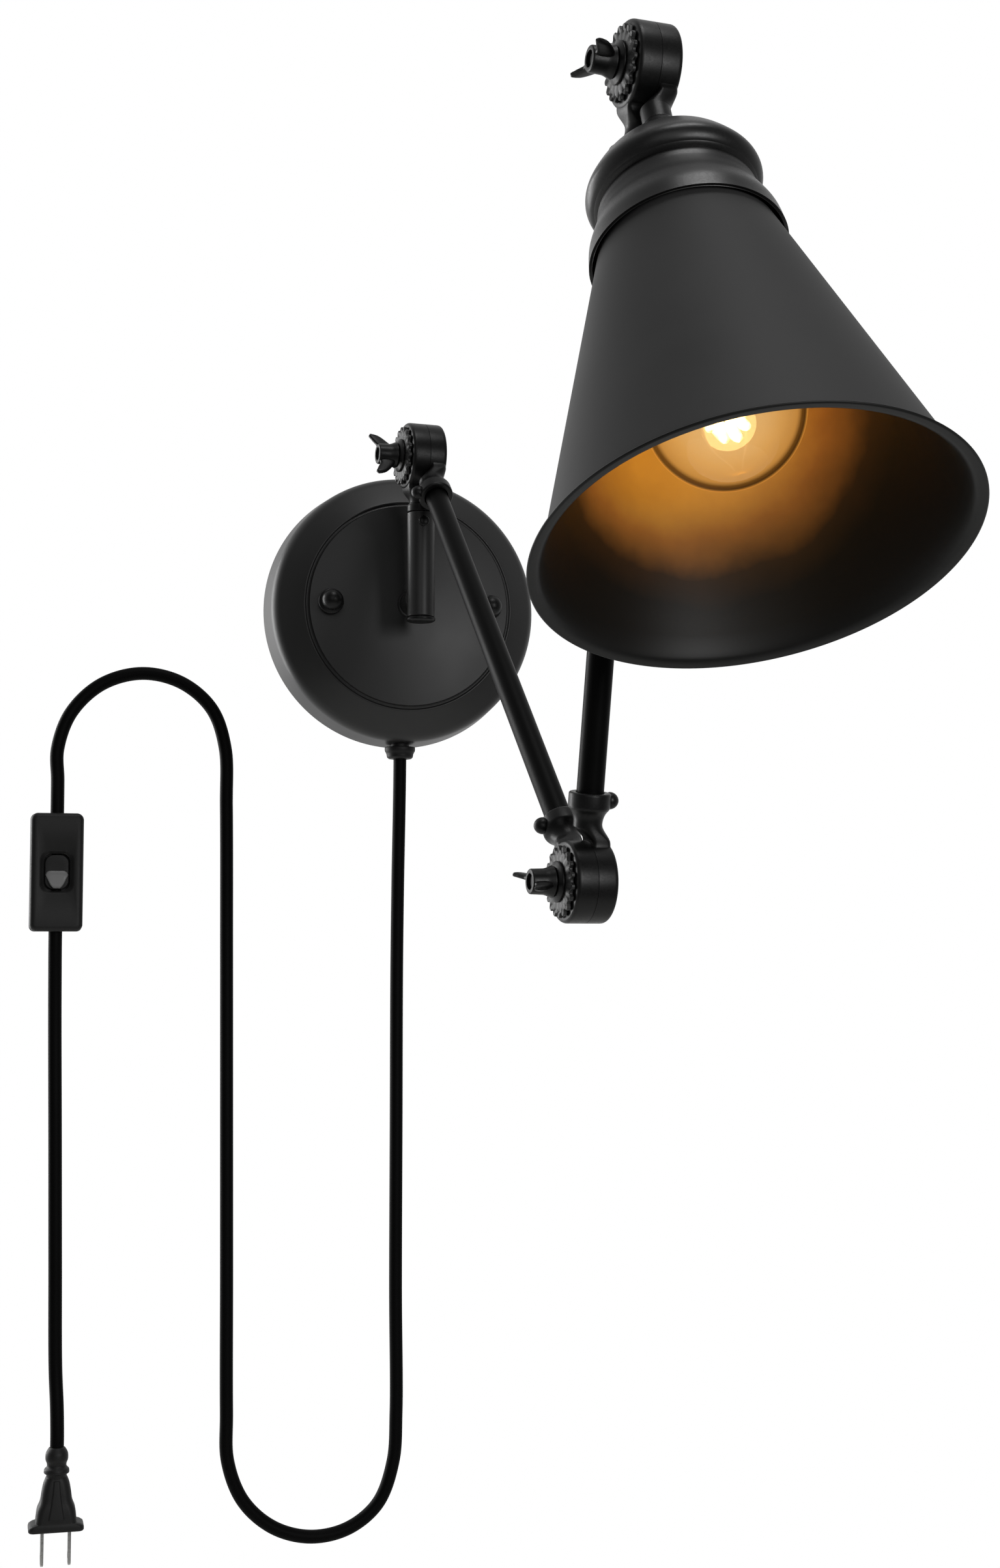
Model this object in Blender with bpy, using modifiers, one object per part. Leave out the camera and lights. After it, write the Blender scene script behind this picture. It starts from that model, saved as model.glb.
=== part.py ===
"""Swing arm wall sconce with a plug-in cord, as separate pieces with real joints.

Frame: metres, +Z up, the wall is the plane Y = 0, the lamp stands out towards -Y, and the
origin is the middle of the mounting bracket's back face.
Run it with: blender --background --python part.py
"""
from math import cos, pi, radians, sin, sqrt

import bmesh
import bpy
from mathutils import Matrix, Vector

# ---- Driving dimensions (metres, degrees) -------------------------------------------------
GAP = 0.0003                # clearance between pieces that touch
BORE_GAP = 0.0003           # radial clearance of a shaft in its bore
MERGE = 0.00001             # merge distance for all modifiers

PLATE_BACK_R = 0.0685       # wall plate: radius of the rim at the wall
PLATE_FRONT_R = 0.0669      # radius of the rim's front corner
PLATE_RIM_DEPTH = 0.020     # depth of the rim
PLATE_STEP_R = 0.0505       # radius of the crease round the dome
PLATE_STEP_DEPTH = 0.0315   # distance of the crease from the wall
PLATE_DOME_DEPTH = 0.0360   # distance of the dome's middle from the wall
PLATE_WALL = 0.0012         # sheet thickness

BRACKET_LENGTH = 0.104
BRACKET_HEIGHT = 0.018
BRACKET_THICKNESS = 0.0020
STUD_R = 0.0020
STUD_SPACING = 0.080        # between the two cap nuts
CAP_NUT_R = 0.0063

POST_R = 0.0067
POST_STANDOFF = 0.060       # post axis to wall
POST_BOTTOM_Z = -0.0100
POST_TOP_Z = 0.0410
POST_BOSS_R = 0.0058
NIPPLE_R = 0.0040           # threaded tube that holds the post to the plate

KNUCKLE_R = 0.0160
KNUCKLE_W = 0.0170          # both halves together
NECK_R = 0.0056
NECK_START = 0.0185         # where a neck crosses the middle plane, outside the other half
RING_R = 0.0082             # flared ring of an arm socket
RING_START = 0.0280
RING_LENGTH = 0.0070
BOLT_R = 0.0030
WASHER_R = 0.0140
WASHER_THICKNESS = 0.0016
CONE_R = 0.0080
CONE_THICKNESS = 0.0020
WING_HUB_R = 0.0051
WING_HUB_LENGTH = 0.0092
WING_SPAN_R = 0.0135

TUBE_R = 0.0053
TUBE_WALL = 0.0010
LOWER_ARM = 0.298           # shoulder axis to elbow axis
UPPER_ARM = 0.304           # elbow axis to head axis

SWING_DEG = 5.6             # arms turned to the right about the post
LOWER_ARM_DEG = 135.5       # angles from straight up, positive away from the wall
UPPER_ARM_DEG = 11.9
HEAD_DEG = 156.0

NECK_END = 0.0297           # lamp head: distances along its axis from the head knuckle
CAP_WIDEST = 0.0606
CAP_R = 0.0318
CAP_END = 0.0660
COLLAR_TOP = 0.0667
COLLAR_END = 0.0905
COLLAR_R = 0.0352
SHADE_TOP = 0.0875
SHADE_TOP_R = 0.0317
SHADE_END = 0.2130
SHADE_R = 0.0748
SHADE_WALL = 0.0010
SHADE_LIP = 0.0037
HOLDER_R = 0.0170
HOLDER_TOP = 0.0620
HOLDER_END = 0.1080
SOCKET_R = 0.0137           # inside radius of the screw shell
BASE_R = 0.0130             # bulb's screw base
BULB_R = 0.0275
BULB_MIDDLE = 0.1570        # centre of the bulb's round part
BULB_WALL = 0.0008
BULB_START = 0.0790         # bottom contact of the bulb's base

CORD_R = 0.00325
SWITCH_WIDTH = 0.0250
SWITCH_LENGTH = 0.0570
SWITCH_DEPTH = 0.0180
SWITCH_X = -0.1690
SWITCH_TOP_Z = -0.1050
ROCKER_WIDTH = 0.0118
ROCKER_LENGTH = 0.0176
PLUG_X = -0.1643
PLUG_TOP_Z = -0.4065
CORD_Y = -0.0040
PLUG_Y = -0.0075
GLAND_Y = -0.0100
BLADE_SPACING = 0.0127
BLADE_LENGTH = 0.0165

# ---- Values that follow -------------------------------------------------------------------
HALF_W = KNUCKLE_W / 2
STEM_LENGTH = NECK_START + 0.0089           # shoulder axis down to the post's top face
SHOULDER_Z = POST_TOP_Z + GAP + STEM_LENGTH
RING_END = RING_START + RING_LENGTH
TUBE_START = RING_START + GAP
CONE_SLOPE = (SHADE_R - SHADE_LIP - SHADE_TOP_R) / (SHADE_END - SHADE_TOP)
SWITCH_BOTTOM_Z = SWITCH_TOP_Z - SWITCH_LENGTH
STEM_SPIGOT_R = POST_R - 0.0018
POST_SCREW_Z = POST_TOP_Z - 0.0050
SCREW_OFFSET = RING_START + RING_LENGTH * 0.55
ROCKER_REST_DEG = 7.0
ROCKER_AXIS_Y = -(SWITCH_DEPTH - 0.0048)

# ---- Collections, materials and small helpers ---------------------------------------------
for old in list(bpy.data.objects):
    bpy.data.objects.remove(old, do_unlink=True)

PARTS = bpy.data.collections.new("swing_arm_wall_sconce")
CUTTERS = bpy.data.collections.new("cutters")
bpy.context.scene.collection.children.link(PARTS)
bpy.context.scene.collection.children.link(CUTTERS)


def material(name, colour, roughness, metallic, alpha=1.0):
    """A plain Principled material."""
    mat = bpy.data.materials.new(name)
    mat.use_nodes = True
    shader = mat.node_tree.nodes["Principled BSDF"]
    shader.inputs["Base Color"].default_value = (*colour, 1.0)
    shader.inputs["Roughness"].default_value = roughness
    shader.inputs["Metallic"].default_value = metallic
    shader.inputs["Alpha"].default_value = alpha
    return mat


BLACK_PAINT = material("black_paint", (0.020, 0.020, 0.021), 0.45, 0.0)
BLACK_CASTING = material("black_casting", (0.016, 0.016, 0.017), 0.35, 0.0)
BLACK_PLASTIC = material("black_plastic", (0.012, 0.012, 0.012), 0.50, 0.0)
CORD_PVC = material("cord_pvc", (0.006, 0.006, 0.006), 0.55, 0.0)
ROCKER_GREY = material("rocker_grey", (0.10, 0.10, 0.10), 0.40, 0.0)
ZINC_STEEL = material("zinc_steel", (0.62, 0.62, 0.60), 0.35, 1.0)
BRASS = material("brass", (0.72, 0.52, 0.24), 0.30, 1.0)
CLEAR_GLASS = material("clear_glass", (1.0, 0.95, 0.85), 0.02, 0.0, 0.3)
FILAMENT_GLOW = material("filament_glow", (1.0, 0.70, 0.30), 0.40, 0.0)


def empty(name, parent, location, x_angle=0.0, z_angle=0.0):
    """An empty that carries a group; its origin lies on a joint axis."""
    obj = bpy.data.objects.new(name, None)
    PARTS.objects.link(obj)
    obj.parent = parent
    obj.location = location
    obj.rotation_euler = (x_angle, 0.0, z_angle)
    return obj


def finish(obj, mat, parent=None, location=(0, 0, 0), rotation=(0, 0, 0), smooth=True):
    """Give a new object its material, smooth shading and place."""
    obj.data.materials.clear()
    obj.data.materials.append(mat)
    if smooth and obj.type == "MESH":
        obj.data.shade_smooth()
        obj.data.set_sharp_from_angle(angle=radians(35))
    obj.parent = parent
    obj.location = location
    obj.rotation_euler = rotation
    return obj


def mesh_object(name, bm, collection=None):
    mesh = bpy.data.meshes.new(name)
    bm.to_mesh(mesh)
    bm.free()
    obj = bpy.data.objects.new(name, mesh)
    (collection or PARTS).objects.link(obj)
    return obj


def turned(name, profile, steps=32, ring=False, collection=None):
    """Turn (radius, height) points, listed down the outer side, about the local Z axis."""
    bm = bmesh.new()
    verts = [bm.verts.new((r, 0.0, z)) for r, z in profile]
    pairs = list(zip(verts, verts[1:]))
    if ring:
        pairs.append((verts[-1], verts[0]))
    for first, second in pairs:
        bm.edges.new((first, second))
    obj = mesh_object(name, bm, collection)
    screw = obj.modifiers.new("turn", "SCREW")
    screw.axis = "Z"
    screw.angle = 2 * pi
    screw.steps = steps
    screw.render_steps = steps
    screw.use_merge_vertices = True
    screw.merge_threshold = MERGE
    return obj


def rod(name, radius, top, bottom, steps=24, collection=None):
    """A solid round bar from height top to bottom."""
    profile = [(0, top), (radius, top), (radius, bottom), (0, bottom)]
    return turned(name, profile, steps, collection=collection)


def tube(name, outer, inner, top, bottom, steps=24):
    """A plain round tube."""
    profile = [(outer, top), (outer, bottom), (inner, bottom), (inner, top)]
    return turned(name, profile, steps, ring=True)


def block(name, size, centre, collection=None, bevel=0.0, segments=1):
    """A box of the given size, with its edges rounded by bevel."""
    bm = bmesh.new()
    bmesh.ops.create_cube(bm, size=1.0)
    bmesh.ops.scale(bm, vec=Vector(size), verts=bm.verts)
    bmesh.ops.translate(bm, vec=Vector(centre), verts=bm.verts)
    obj = mesh_object(name, bm, collection)
    if bevel > 0.0:
        mod = obj.modifiers.new("round", "BEVEL")
        mod.width = bevel
        mod.segments = segments
    return obj


def outline(name, points, thickness, collection=None):
    """A flat closed outline in the local XY plane, thickened along Z."""
    curve = bpy.data.curves.new(name, "CURVE")
    curve.dimensions = "2D"
    curve.fill_mode = "BOTH"
    curve.extrude = thickness / 2
    for loop in points:
        spline = curve.splines.new("POLY")
        spline.points.add(len(loop) - 1)
        for point, (x, y) in zip(spline.points, loop):
            point.co = (x, y, 0.0, 1.0)
        spline.use_cyclic_u = True
    obj = bpy.data.objects.new(name, curve)
    (collection or PARTS).objects.link(obj)
    return obj


def as_mesh(obj):
    """Turn a curve object into a welded mesh object of the same name and place."""
    bpy.context.view_layer.update()
    evaluated = obj.evaluated_get(bpy.context.evaluated_depsgraph_get())
    mesh = bpy.data.meshes.new_from_object(evaluated)
    bm = bmesh.new()
    bm.from_mesh(mesh)
    bmesh.ops.remove_doubles(bm, verts=bm.verts, dist=MERGE)
    bmesh.ops.recalc_face_normals(bm, faces=bm.faces)
    bm.to_mesh(mesh)
    bm.free()
    name = obj.name
    matrix = obj.matrix_world.copy()
    collection = obj.users_collection[0]
    bpy.data.objects.remove(obj, do_unlink=True)
    result = bpy.data.objects.new(name, mesh)
    collection.objects.link(result)
    result.matrix_world = matrix
    return result


def boolean(obj, other, operation):
    """Join or cut obj with another object, which becomes a hidden cutter."""
    other.hide_render = True
    other.display_type = "WIRE"
    mod = obj.modifiers.new(operation.lower(), "BOOLEAN")
    mod.operation = operation
    mod.solver = "EXACT"
    mod.object = other
    return obj


def circle(radius, count, centre=(0.0, 0.0)):
    return [(centre[0] + radius * cos(2 * pi * i / count),
             centre[1] + radius * sin(2 * pi * i / count)) for i in range(count)]


def hexagon(across_flats):
    return circle(across_flats / sqrt(3), 6)


OUT_OF_WALL = (radians(90), 0, 0)   # turns local Z to -Y, away from the wall
SIDEWAYS = (0, radians(90), 0)      # turns local Z to +X, along a knuckle's axis


# ---- Wall mount ---------------------------------------------------------------------------
def dome_profile():
    """Outer surface of the wall plate from its middle to the wall: (radius, depth)."""
    dome = [(PLATE_STEP_R - 0.0004, PLATE_STEP_DEPTH + 0.0010)]
    for share in (0.80, 0.45):
        rise = PLATE_DOME_DEPTH - PLATE_STEP_DEPTH - 0.0010
        dome.insert(0, (PLATE_STEP_R * share, PLATE_DOME_DEPTH - rise * share ** 2))
    shoulder = [(PLATE_STEP_R, PLATE_STEP_DEPTH),
                (PLATE_STEP_R + 0.0012, PLATE_STEP_DEPTH - 0.0002),
                (PLATE_FRONT_R - 0.0020, PLATE_RIM_DEPTH + 0.0022),
                (PLATE_FRONT_R, PLATE_RIM_DEPTH - 0.0014)]
    return dome + shoulder + [(PLATE_BACK_R, GAP)]


def wall_plate():
    """The pressed canopy: an outer surface and the same one a sheet's thickness inside."""
    outer = dome_profile()
    hole_r = NIPPLE_R + BORE_GAP
    outer = [(hole_r, PLATE_DOME_DEPTH)] + outer
    inner = [(max(r - PLATE_WALL, hole_r), z - PLATE_WALL) for r, z in outer[:-1]]
    inner = inner + [(PLATE_BACK_R - PLATE_WALL, GAP)]
    plate = turned("wall_plate", outer + inner[::-1], 48, ring=True)
    finish(plate, BLACK_PAINT, None, (0, 0, 0), OUT_OF_WALL)
    for side in (-1, 1):
        cutter = rod("stud_hole", STUD_R + BORE_GAP, 0.045, 0.020, 12, collection=CUTTERS)
        cutter.location = (side * STUD_SPACING / 2, 0, 0)
        cutter.rotation_euler = OUT_OF_WALL
        boolean(plate, cutter, "DIFFERENCE")
    cutter = rod("gland_hole", 0.0050, -0.050, -0.080, 16, collection=CUTTERS)
    cutter.location = (0, GLAND_Y, 0)
    boolean(plate, cutter, "DIFFERENCE")
    return plate


def mounting_bracket():
    """A flat steel strap against the wall, with stud holes and two screw slots."""
    half_x = BRACKET_LENGTH / 2
    half_z = BRACKET_HEIGHT / 2
    corner = 0.004
    loop = []
    for cx, cz, start in ((half_x - corner, half_z - corner, 0), (-half_x + corner, half_z - corner, 90),
                          (-half_x + corner, -half_z + corner, 180),
                          (half_x - corner, -half_z + corner, 270)):
        for step in (0, 30, 60, 90):
            angle = radians(start + step)
            loop.append((cx + corner * cos(angle), cz + corner * sin(angle)))
    holes = [circle(STUD_R + BORE_GAP, 12, (side * STUD_SPACING / 2, 0)) for side in (-1, 1)]
    for side in (-1, 1):
        slot = []
        for cx, start in ((0.0035, -90), (-0.0035, 90)):
            for step in range(0, 181, 45):
                angle = radians(start + step)
                slot.append((side * 0.026 + cx + 0.0023 * cos(angle), 0.0023 * sin(angle)))
        holes.append(slot)
    strap = outline("mounting_bracket", [loop] + holes, BRACKET_THICKNESS)
    strap = as_mesh(strap)
    return finish(strap, ZINC_STEEL, None, (0, -BRACKET_THICKNESS / 2, 0), OUT_OF_WALL)


def hex_nut(name, across, bore, thickness, mat, parent, location, rotation):
    nut = outline(name, [hexagon(across), circle(bore, 12)], thickness)
    nut = as_mesh(nut)
    return finish(nut, mat, parent, location, rotation, smooth=False)


def studs_and_nuts():
    nut_base = dome_depth(STUD_SPACING / 2 - CAP_NUT_R) + GAP
    for side, word in ((-1, "left"), (1, "right")):
        x = side * STUD_SPACING / 2
        stud = rod(f"stud_{word}", STUD_R, nut_base + 0.0055, GAP, 12)
        finish(stud, ZINC_STEEL, None, (x, 0, 0), OUT_OF_WALL)
        bore = STUD_R + BORE_GAP
        ball = 0.0052
        profile = [(0, nut_base + 0.0118)]
        profile += [(ball * cos(radians(a)), nut_base + 0.0066 + ball * sin(radians(a)))
                    for a in (65, 40, 15, -10, -32)]
        profile += [(CAP_NUT_R, nut_base + 0.0026), (CAP_NUT_R, nut_base),
                    (bore, nut_base), (bore, nut_base + 0.0062), (0, nut_base + 0.0062)]
        nut = turned(f"cap_nut_{word}", profile, 14)
        finish(nut, BLACK_CASTING, None, (x, 0, 0), OUT_OF_WALL)


def dome_depth(radius):
    """Depth of the plate's outer surface at a radius inside the dome."""
    rise = PLATE_DOME_DEPTH - PLATE_STEP_DEPTH - 0.0010
    return PLATE_DOME_DEPTH - rise * (radius / PLATE_STEP_R) ** 2


def post():
    """The upright tube with its boss; the boss takes the nipple that comes through the dome."""
    bore = STEM_SPIGOT_R + BORE_GAP
    body = rod("post", POST_R, POST_TOP_Z, POST_BOTTOM_Z, 24)
    finish(body, BLACK_PAINT, None, (0, -POST_STANDOFF, 0))
    boss = rod("post_boss", POST_BOSS_R, POST_STANDOFF, PLATE_DOME_DEPTH + GAP, 24, collection=CUTTERS)
    boss.rotation_euler = OUT_OF_WALL
    boolean(body, boss, "UNION")
    inside = rod("post_bore", bore, POST_TOP_Z + 0.01, POST_BOTTOM_Z - 0.01, 24, collection=CUTTERS)
    inside.location = (0, -POST_STANDOFF, 0)
    boolean(body, inside, "DIFFERENCE")
    hole = rod("boss_bore", NIPPLE_R + BORE_GAP, POST_STANDOFF - 0.001, PLATE_DOME_DEPTH - 0.002, 16,
               collection=CUTTERS)
    hole.rotation_euler = OUT_OF_WALL
    boolean(body, hole, "DIFFERENCE")
    screw_hole = rod("post_screw_hole", 0.0019, POST_STANDOFF + 0.010, POST_STANDOFF + 0.002, 10,
                     collection=CUTTERS)
    screw_hole.location = (0, 0, POST_SCREW_Z)
    screw_hole.rotation_euler = OUT_OF_WALL
    boolean(body, screw_hole, "DIFFERENCE")
    cap = turned("post_end_cap", [(0, POST_BOTTOM_Z - GAP), (POST_R + 0.0004, POST_BOTTOM_Z - GAP),
                                  (POST_R + 0.0004, POST_BOTTOM_Z - 0.0015),
                                  (POST_R - 0.0010, POST_BOTTOM_Z - 0.0022),
                                  (0, POST_BOTTOM_Z - 0.0022)], 28)
    finish(cap, BLACK_CASTING, None, (0, -POST_STANDOFF, 0))
    screw = turned("post_set_screw", [(0, POST_R + 0.0016), (0.0018, POST_R + 0.0014),
                                      (0.0026, POST_R + GAP), (0.0016, POST_R + GAP),
                                      (0.0016, STEM_SPIGOT_R + 2 * BORE_GAP),
                                      (0, STEM_SPIGOT_R + 2 * BORE_GAP)], 16)
    finish(screw, BLACK_CASTING, None, (0, -POST_STANDOFF, POST_SCREW_Z), OUT_OF_WALL)


def nipple_and_nuts():
    nipple = tube("plate_nipple", NIPPLE_R, NIPPLE_R - 0.0012, POST_STANDOFF - STEM_SPIGOT_R - 0.0012,
                  PLATE_DOME_DEPTH - 0.011, 16)
    finish(nipple, ZINC_STEEL, None, (0, 0, 0), OUT_OF_WALL)
    under = PLATE_DOME_DEPTH - PLATE_WALL - GAP
    hex_nut("nipple_nut", 0.0140, NIPPLE_R + BORE_GAP, 0.0030, ZINC_STEEL, None,
            (0, -(under - 0.0015), 0), OUT_OF_WALL)


def gland():
    """The bush in the plate's lower edge that the cord comes out of."""
    bore = CORD_R + BORE_GAP
    top = -(PLATE_BACK_R + GAP)
    profile = [(0.0046, top + 0.0145), (0.0046, top), (0.0077, top), (0.0076, top - 0.0022),
               (0.0068, top - 0.0034), (0.0066, top - 0.0052), (0.0056, top - 0.0060),
               (bore, top - 0.0060), (bore, top + 0.0145)]
    bush = turned("cord_gland", profile, 16, ring=True)
    finish(bush, BLACK_PLASTIC, None, (0, GLAND_Y, 0))
    return top


# ---- Knuckles -----------------------------------------------------------------------------
def knuckle_disc(name, side):
    """The round half of a knuckle: side -1 is the left half, +1 the right, axis along X."""
    inner = GAP / 2
    chamfer = 0.0009
    bore = BOLT_R + BORE_GAP
    profile = [(KNUCKLE_R - chamfer, HALF_W), (KNUCKLE_R, HALF_W - chamfer), (KNUCKLE_R, inner),
               (bore, inner), (bore, HALF_W)]
    disc = turned(name, profile, 28, ring=True)
    return disc


def knuckle_half(name, parent, side, height, neck_up, neck_profile):
    """Half a knuckle with its neck along local Z; the neck sits on the knuckle's middle plane."""
    disc = knuckle_disc(name, side)
    turn = side * radians(90)
    finish(disc, BLACK_CASTING, parent, (0, 0, height), (0, turn, 0))
    neck = turned(name + "_neck", neck_profile, 18, collection=CUTTERS)
    web_depth = NECK_START + 0.003 - KNUCKLE_R * 0.62
    web = block(name + "_web", (HALF_W - GAP / 2 - 0.0006, 2 * NECK_R * 0.92, web_depth),
                (side * (HALF_W + GAP / 2 - 0.0006) / 2, 0, KNUCKLE_R * 0.62 + web_depth / 2),
                collection=CUTTERS, bevel=0.0012)
    flip = 0 if neck_up else radians(180)
    for piece in (web, neck):
        piece.parent = parent
        piece.location = (0, 0, height)
        piece.rotation_euler = (flip, 0, 0)
        boolean(disc, piece, "UNION")
    return disc


def socket_profile():
    """Neck with a flared ring whose bore takes an arm tube."""
    bore = TUBE_R + BORE_GAP
    return [(0, RING_END - RING_LENGTH), (bore, RING_START), (bore, RING_END), (RING_R - 0.0010, RING_END),
            (RING_R, RING_END - 0.0010), (RING_R, RING_START + 0.0012),
            (NECK_R + 0.0008, RING_START - 0.0014), (NECK_R, RING_START - 0.0040),
            (NECK_R, NECK_START), (0, NECK_START)]


def stem_profile():
    """Neck with a collar that stands on the post, and the spigot that turns inside it."""
    return [(0, STEM_LENGTH + 0.014), (STEM_SPIGOT_R - 0.0006, STEM_LENGTH + 0.014),
            (STEM_SPIGOT_R, STEM_LENGTH + 0.0132), (STEM_SPIGOT_R, STEM_LENGTH), (POST_R, STEM_LENGTH),
            (POST_R, STEM_LENGTH - 0.0032), (NECK_R, STEM_LENGTH - 0.0044),
            (NECK_R, NECK_START), (0, NECK_START)]


def head_neck_profile():
    """Neck that ends on the lamp head's cap, with a blind bore for the head's nipple."""
    bore = NIPPLE_R + BORE_GAP
    return [(0, NECK_END - 0.006), (bore, NECK_END - 0.006), (bore, NECK_END), (NECK_R + 0.0004, NECK_END),
            (NECK_R, NECK_END - 0.0006), (NECK_R, NECK_START), (0, NECK_START)]


def washers(prefix, parent, height):
    """The toothed washer and the cone washer on the knuckle's left side."""
    teeth = 18
    rim = []
    for i in range(2 * teeth):
        radius = WASHER_R if i % 2 == 0 else WASHER_R - 0.0016
        angle = pi * i / teeth
        rim.append((radius * cos(angle), radius * sin(angle)))
    bore = BOLT_R + BORE_GAP
    start = HALF_W + GAP
    washer = as_mesh(outline(prefix + "_toothed_washer", [rim, circle(bore, 12)], WASHER_THICKNESS))
    middle = -(start + WASHER_THICKNESS / 2)
    finish(washer, BLACK_CASTING, parent, (middle, 0, height), SIDEWAYS, smooth=False)
    start += WASHER_THICKNESS + GAP
    profile = [(CONE_R - 0.0022, start + CONE_THICKNESS), (CONE_R, start + 0.0006), (CONE_R, start),
               (bore, start), (bore, start + CONE_THICKNESS)]
    cone = turned(prefix + "_cone_washer", profile, 18, ring=True)
    finish(cone, BLACK_CASTING, parent, (0, 0, height), (0, radians(-90), 0))


def clamp_bolt(prefix, parent, height):
    """Round-headed bolt from the right side through both halves into the wing nut."""
    head = HALF_W + GAP
    end = wing_start() + WING_HUB_LENGTH - 0.0012
    profile = [(0, head + 0.0022), (0.0040, head + 0.0018), (0.0062, head + 0.0004), (0.0062, head),
               (BOLT_R, head), (BOLT_R, -end + 0.0006), (BOLT_R - 0.0006, -end), (0, -end)]
    bolt = turned(prefix + "_bolt", profile, 16)
    finish(bolt, BLACK_CASTING, parent, (0, 0, height), SIDEWAYS)


def wing_start():
    return HALF_W + GAP + WASHER_THICKNESS + GAP + CONE_THICKNESS + GAP


def wing_nut(prefix, parent, height, wing_angle):
    """Hub with two flared wings; the wings lie in a plane through the bolt axis."""
    base = wing_start()
    bore = BOLT_R + BORE_GAP
    hub_r = WING_HUB_R
    profile = [(hub_r - 0.0008, base + WING_HUB_LENGTH), (hub_r, base + WING_HUB_LENGTH - 0.0008),
               (hub_r, base + 0.0030), (hub_r + 0.0013, base), (bore, base), (bore, base + WING_HUB_LENGTH)]
    hub = turned(prefix + "_wing_nut", profile, 16, ring=True)
    finish(hub, BLACK_CASTING, parent, (0, 0, height), (0, radians(-90), 0))
    inner = hub_r - 0.0010
    tip = WING_SPAN_R
    wing = [(inner, base + 0.0018), (hub_r + 0.0022, base + 0.0026), (tip - 0.0010, base + 0.0084),
            (tip, base + 0.0106), (tip - 0.0016, base + 0.0123), (tip - 0.0042, base + 0.0117),
            (hub_r + 0.0012, base + 0.0086), (inner, base + 0.0080)]
    for side in (-1, 1):
        points = [(side * r, z) for r, z in wing]
        if side < 0:
            points.reverse()
        plate = as_mesh(outline(prefix + "_wing", [points], 0.0021, CUTTERS))
        plate.parent = parent
        plate.location = (0, 0, height)
        plate.rotation_mode = "YXZ"
        plate.rotation_euler = (wing_angle, radians(-90), 0)
        plate.data.transform(wing_frame())
        boolean(hub, plate, "UNION")
    return hub


def wing_frame():
    """Stands an outline drawn as (radius, height) up in the local XZ plane."""
    return Matrix.Rotation(radians(90), 4, "X")


def socket_screw(name, parent, height, side):
    """Small round-headed screw in a socket ring; it presses on the arm tube."""
    start = RING_R + GAP
    profile = [(0, start + 0.0042), (0.0020, start + 0.0038), (0.0034, start + 0.0022), (0.0034, start),
               (0.0014, start), (0.0014, TUBE_R + 2 * BORE_GAP), (0, TUBE_R + 2 * BORE_GAP)]
    screw = turned(name, profile, 16)
    finish(screw, BLACK_CASTING, parent, (0, 0, height), (0, side * radians(90), 0))


def socket_screw_hole(half, parent, height, side):
    hole = rod(half.name + "_hole", 0.0017, RING_R + 0.002, TUBE_R - 0.001, 10, collection=CUTTERS)
    hole.parent = parent
    hole.location = (0, 0, height)
    hole.rotation_euler = (0, side * radians(90), 0)
    boolean(half, hole, "DIFFERENCE")


# ---- Arms ---------------------------------------------------------------------------------
def arm(prefix, axis, length, near_name, far_name, near_side, far_side):
    """An arm: the right half of its own knuckle, the tube, and the left half of the next."""
    near = knuckle_half(near_name, axis, 1, 0.0, True, socket_profile())
    socket_screw_hole(near, axis, SCREW_OFFSET, near_side)
    socket_screw(f"{prefix}_near_socket_screw", axis, SCREW_OFFSET, near_side)
    pipe = tube(f"{prefix}_tube", TUBE_R, TUBE_R - TUBE_WALL, length - TUBE_START, TUBE_START, 24)
    finish(pipe, BLACK_PAINT, axis)
    far = knuckle_half(far_name, axis, -1, length, False, socket_profile())
    socket_screw_hole(far, axis, length - SCREW_OFFSET, far_side)
    socket_screw(f"{prefix}_far_socket_screw", axis, length - SCREW_OFFSET, far_side)


# ---- Lamp head ----------------------------------------------------------------------------
def offset_ring(outer, thickness):
    """Close an outer profile with the same line moved in by a sheet's thickness."""
    inner = []
    for i, (r, z) in enumerate(outer):
        before = outer[max(i - 1, 0)]
        after = outer[min(i + 1, len(outer) - 1)]
        along = Vector((after[0] - before[0], after[1] - before[1])).normalized()
        inner.append((r + along.y * thickness, z - along.x * thickness))
    return outer + inner[::-1]


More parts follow.
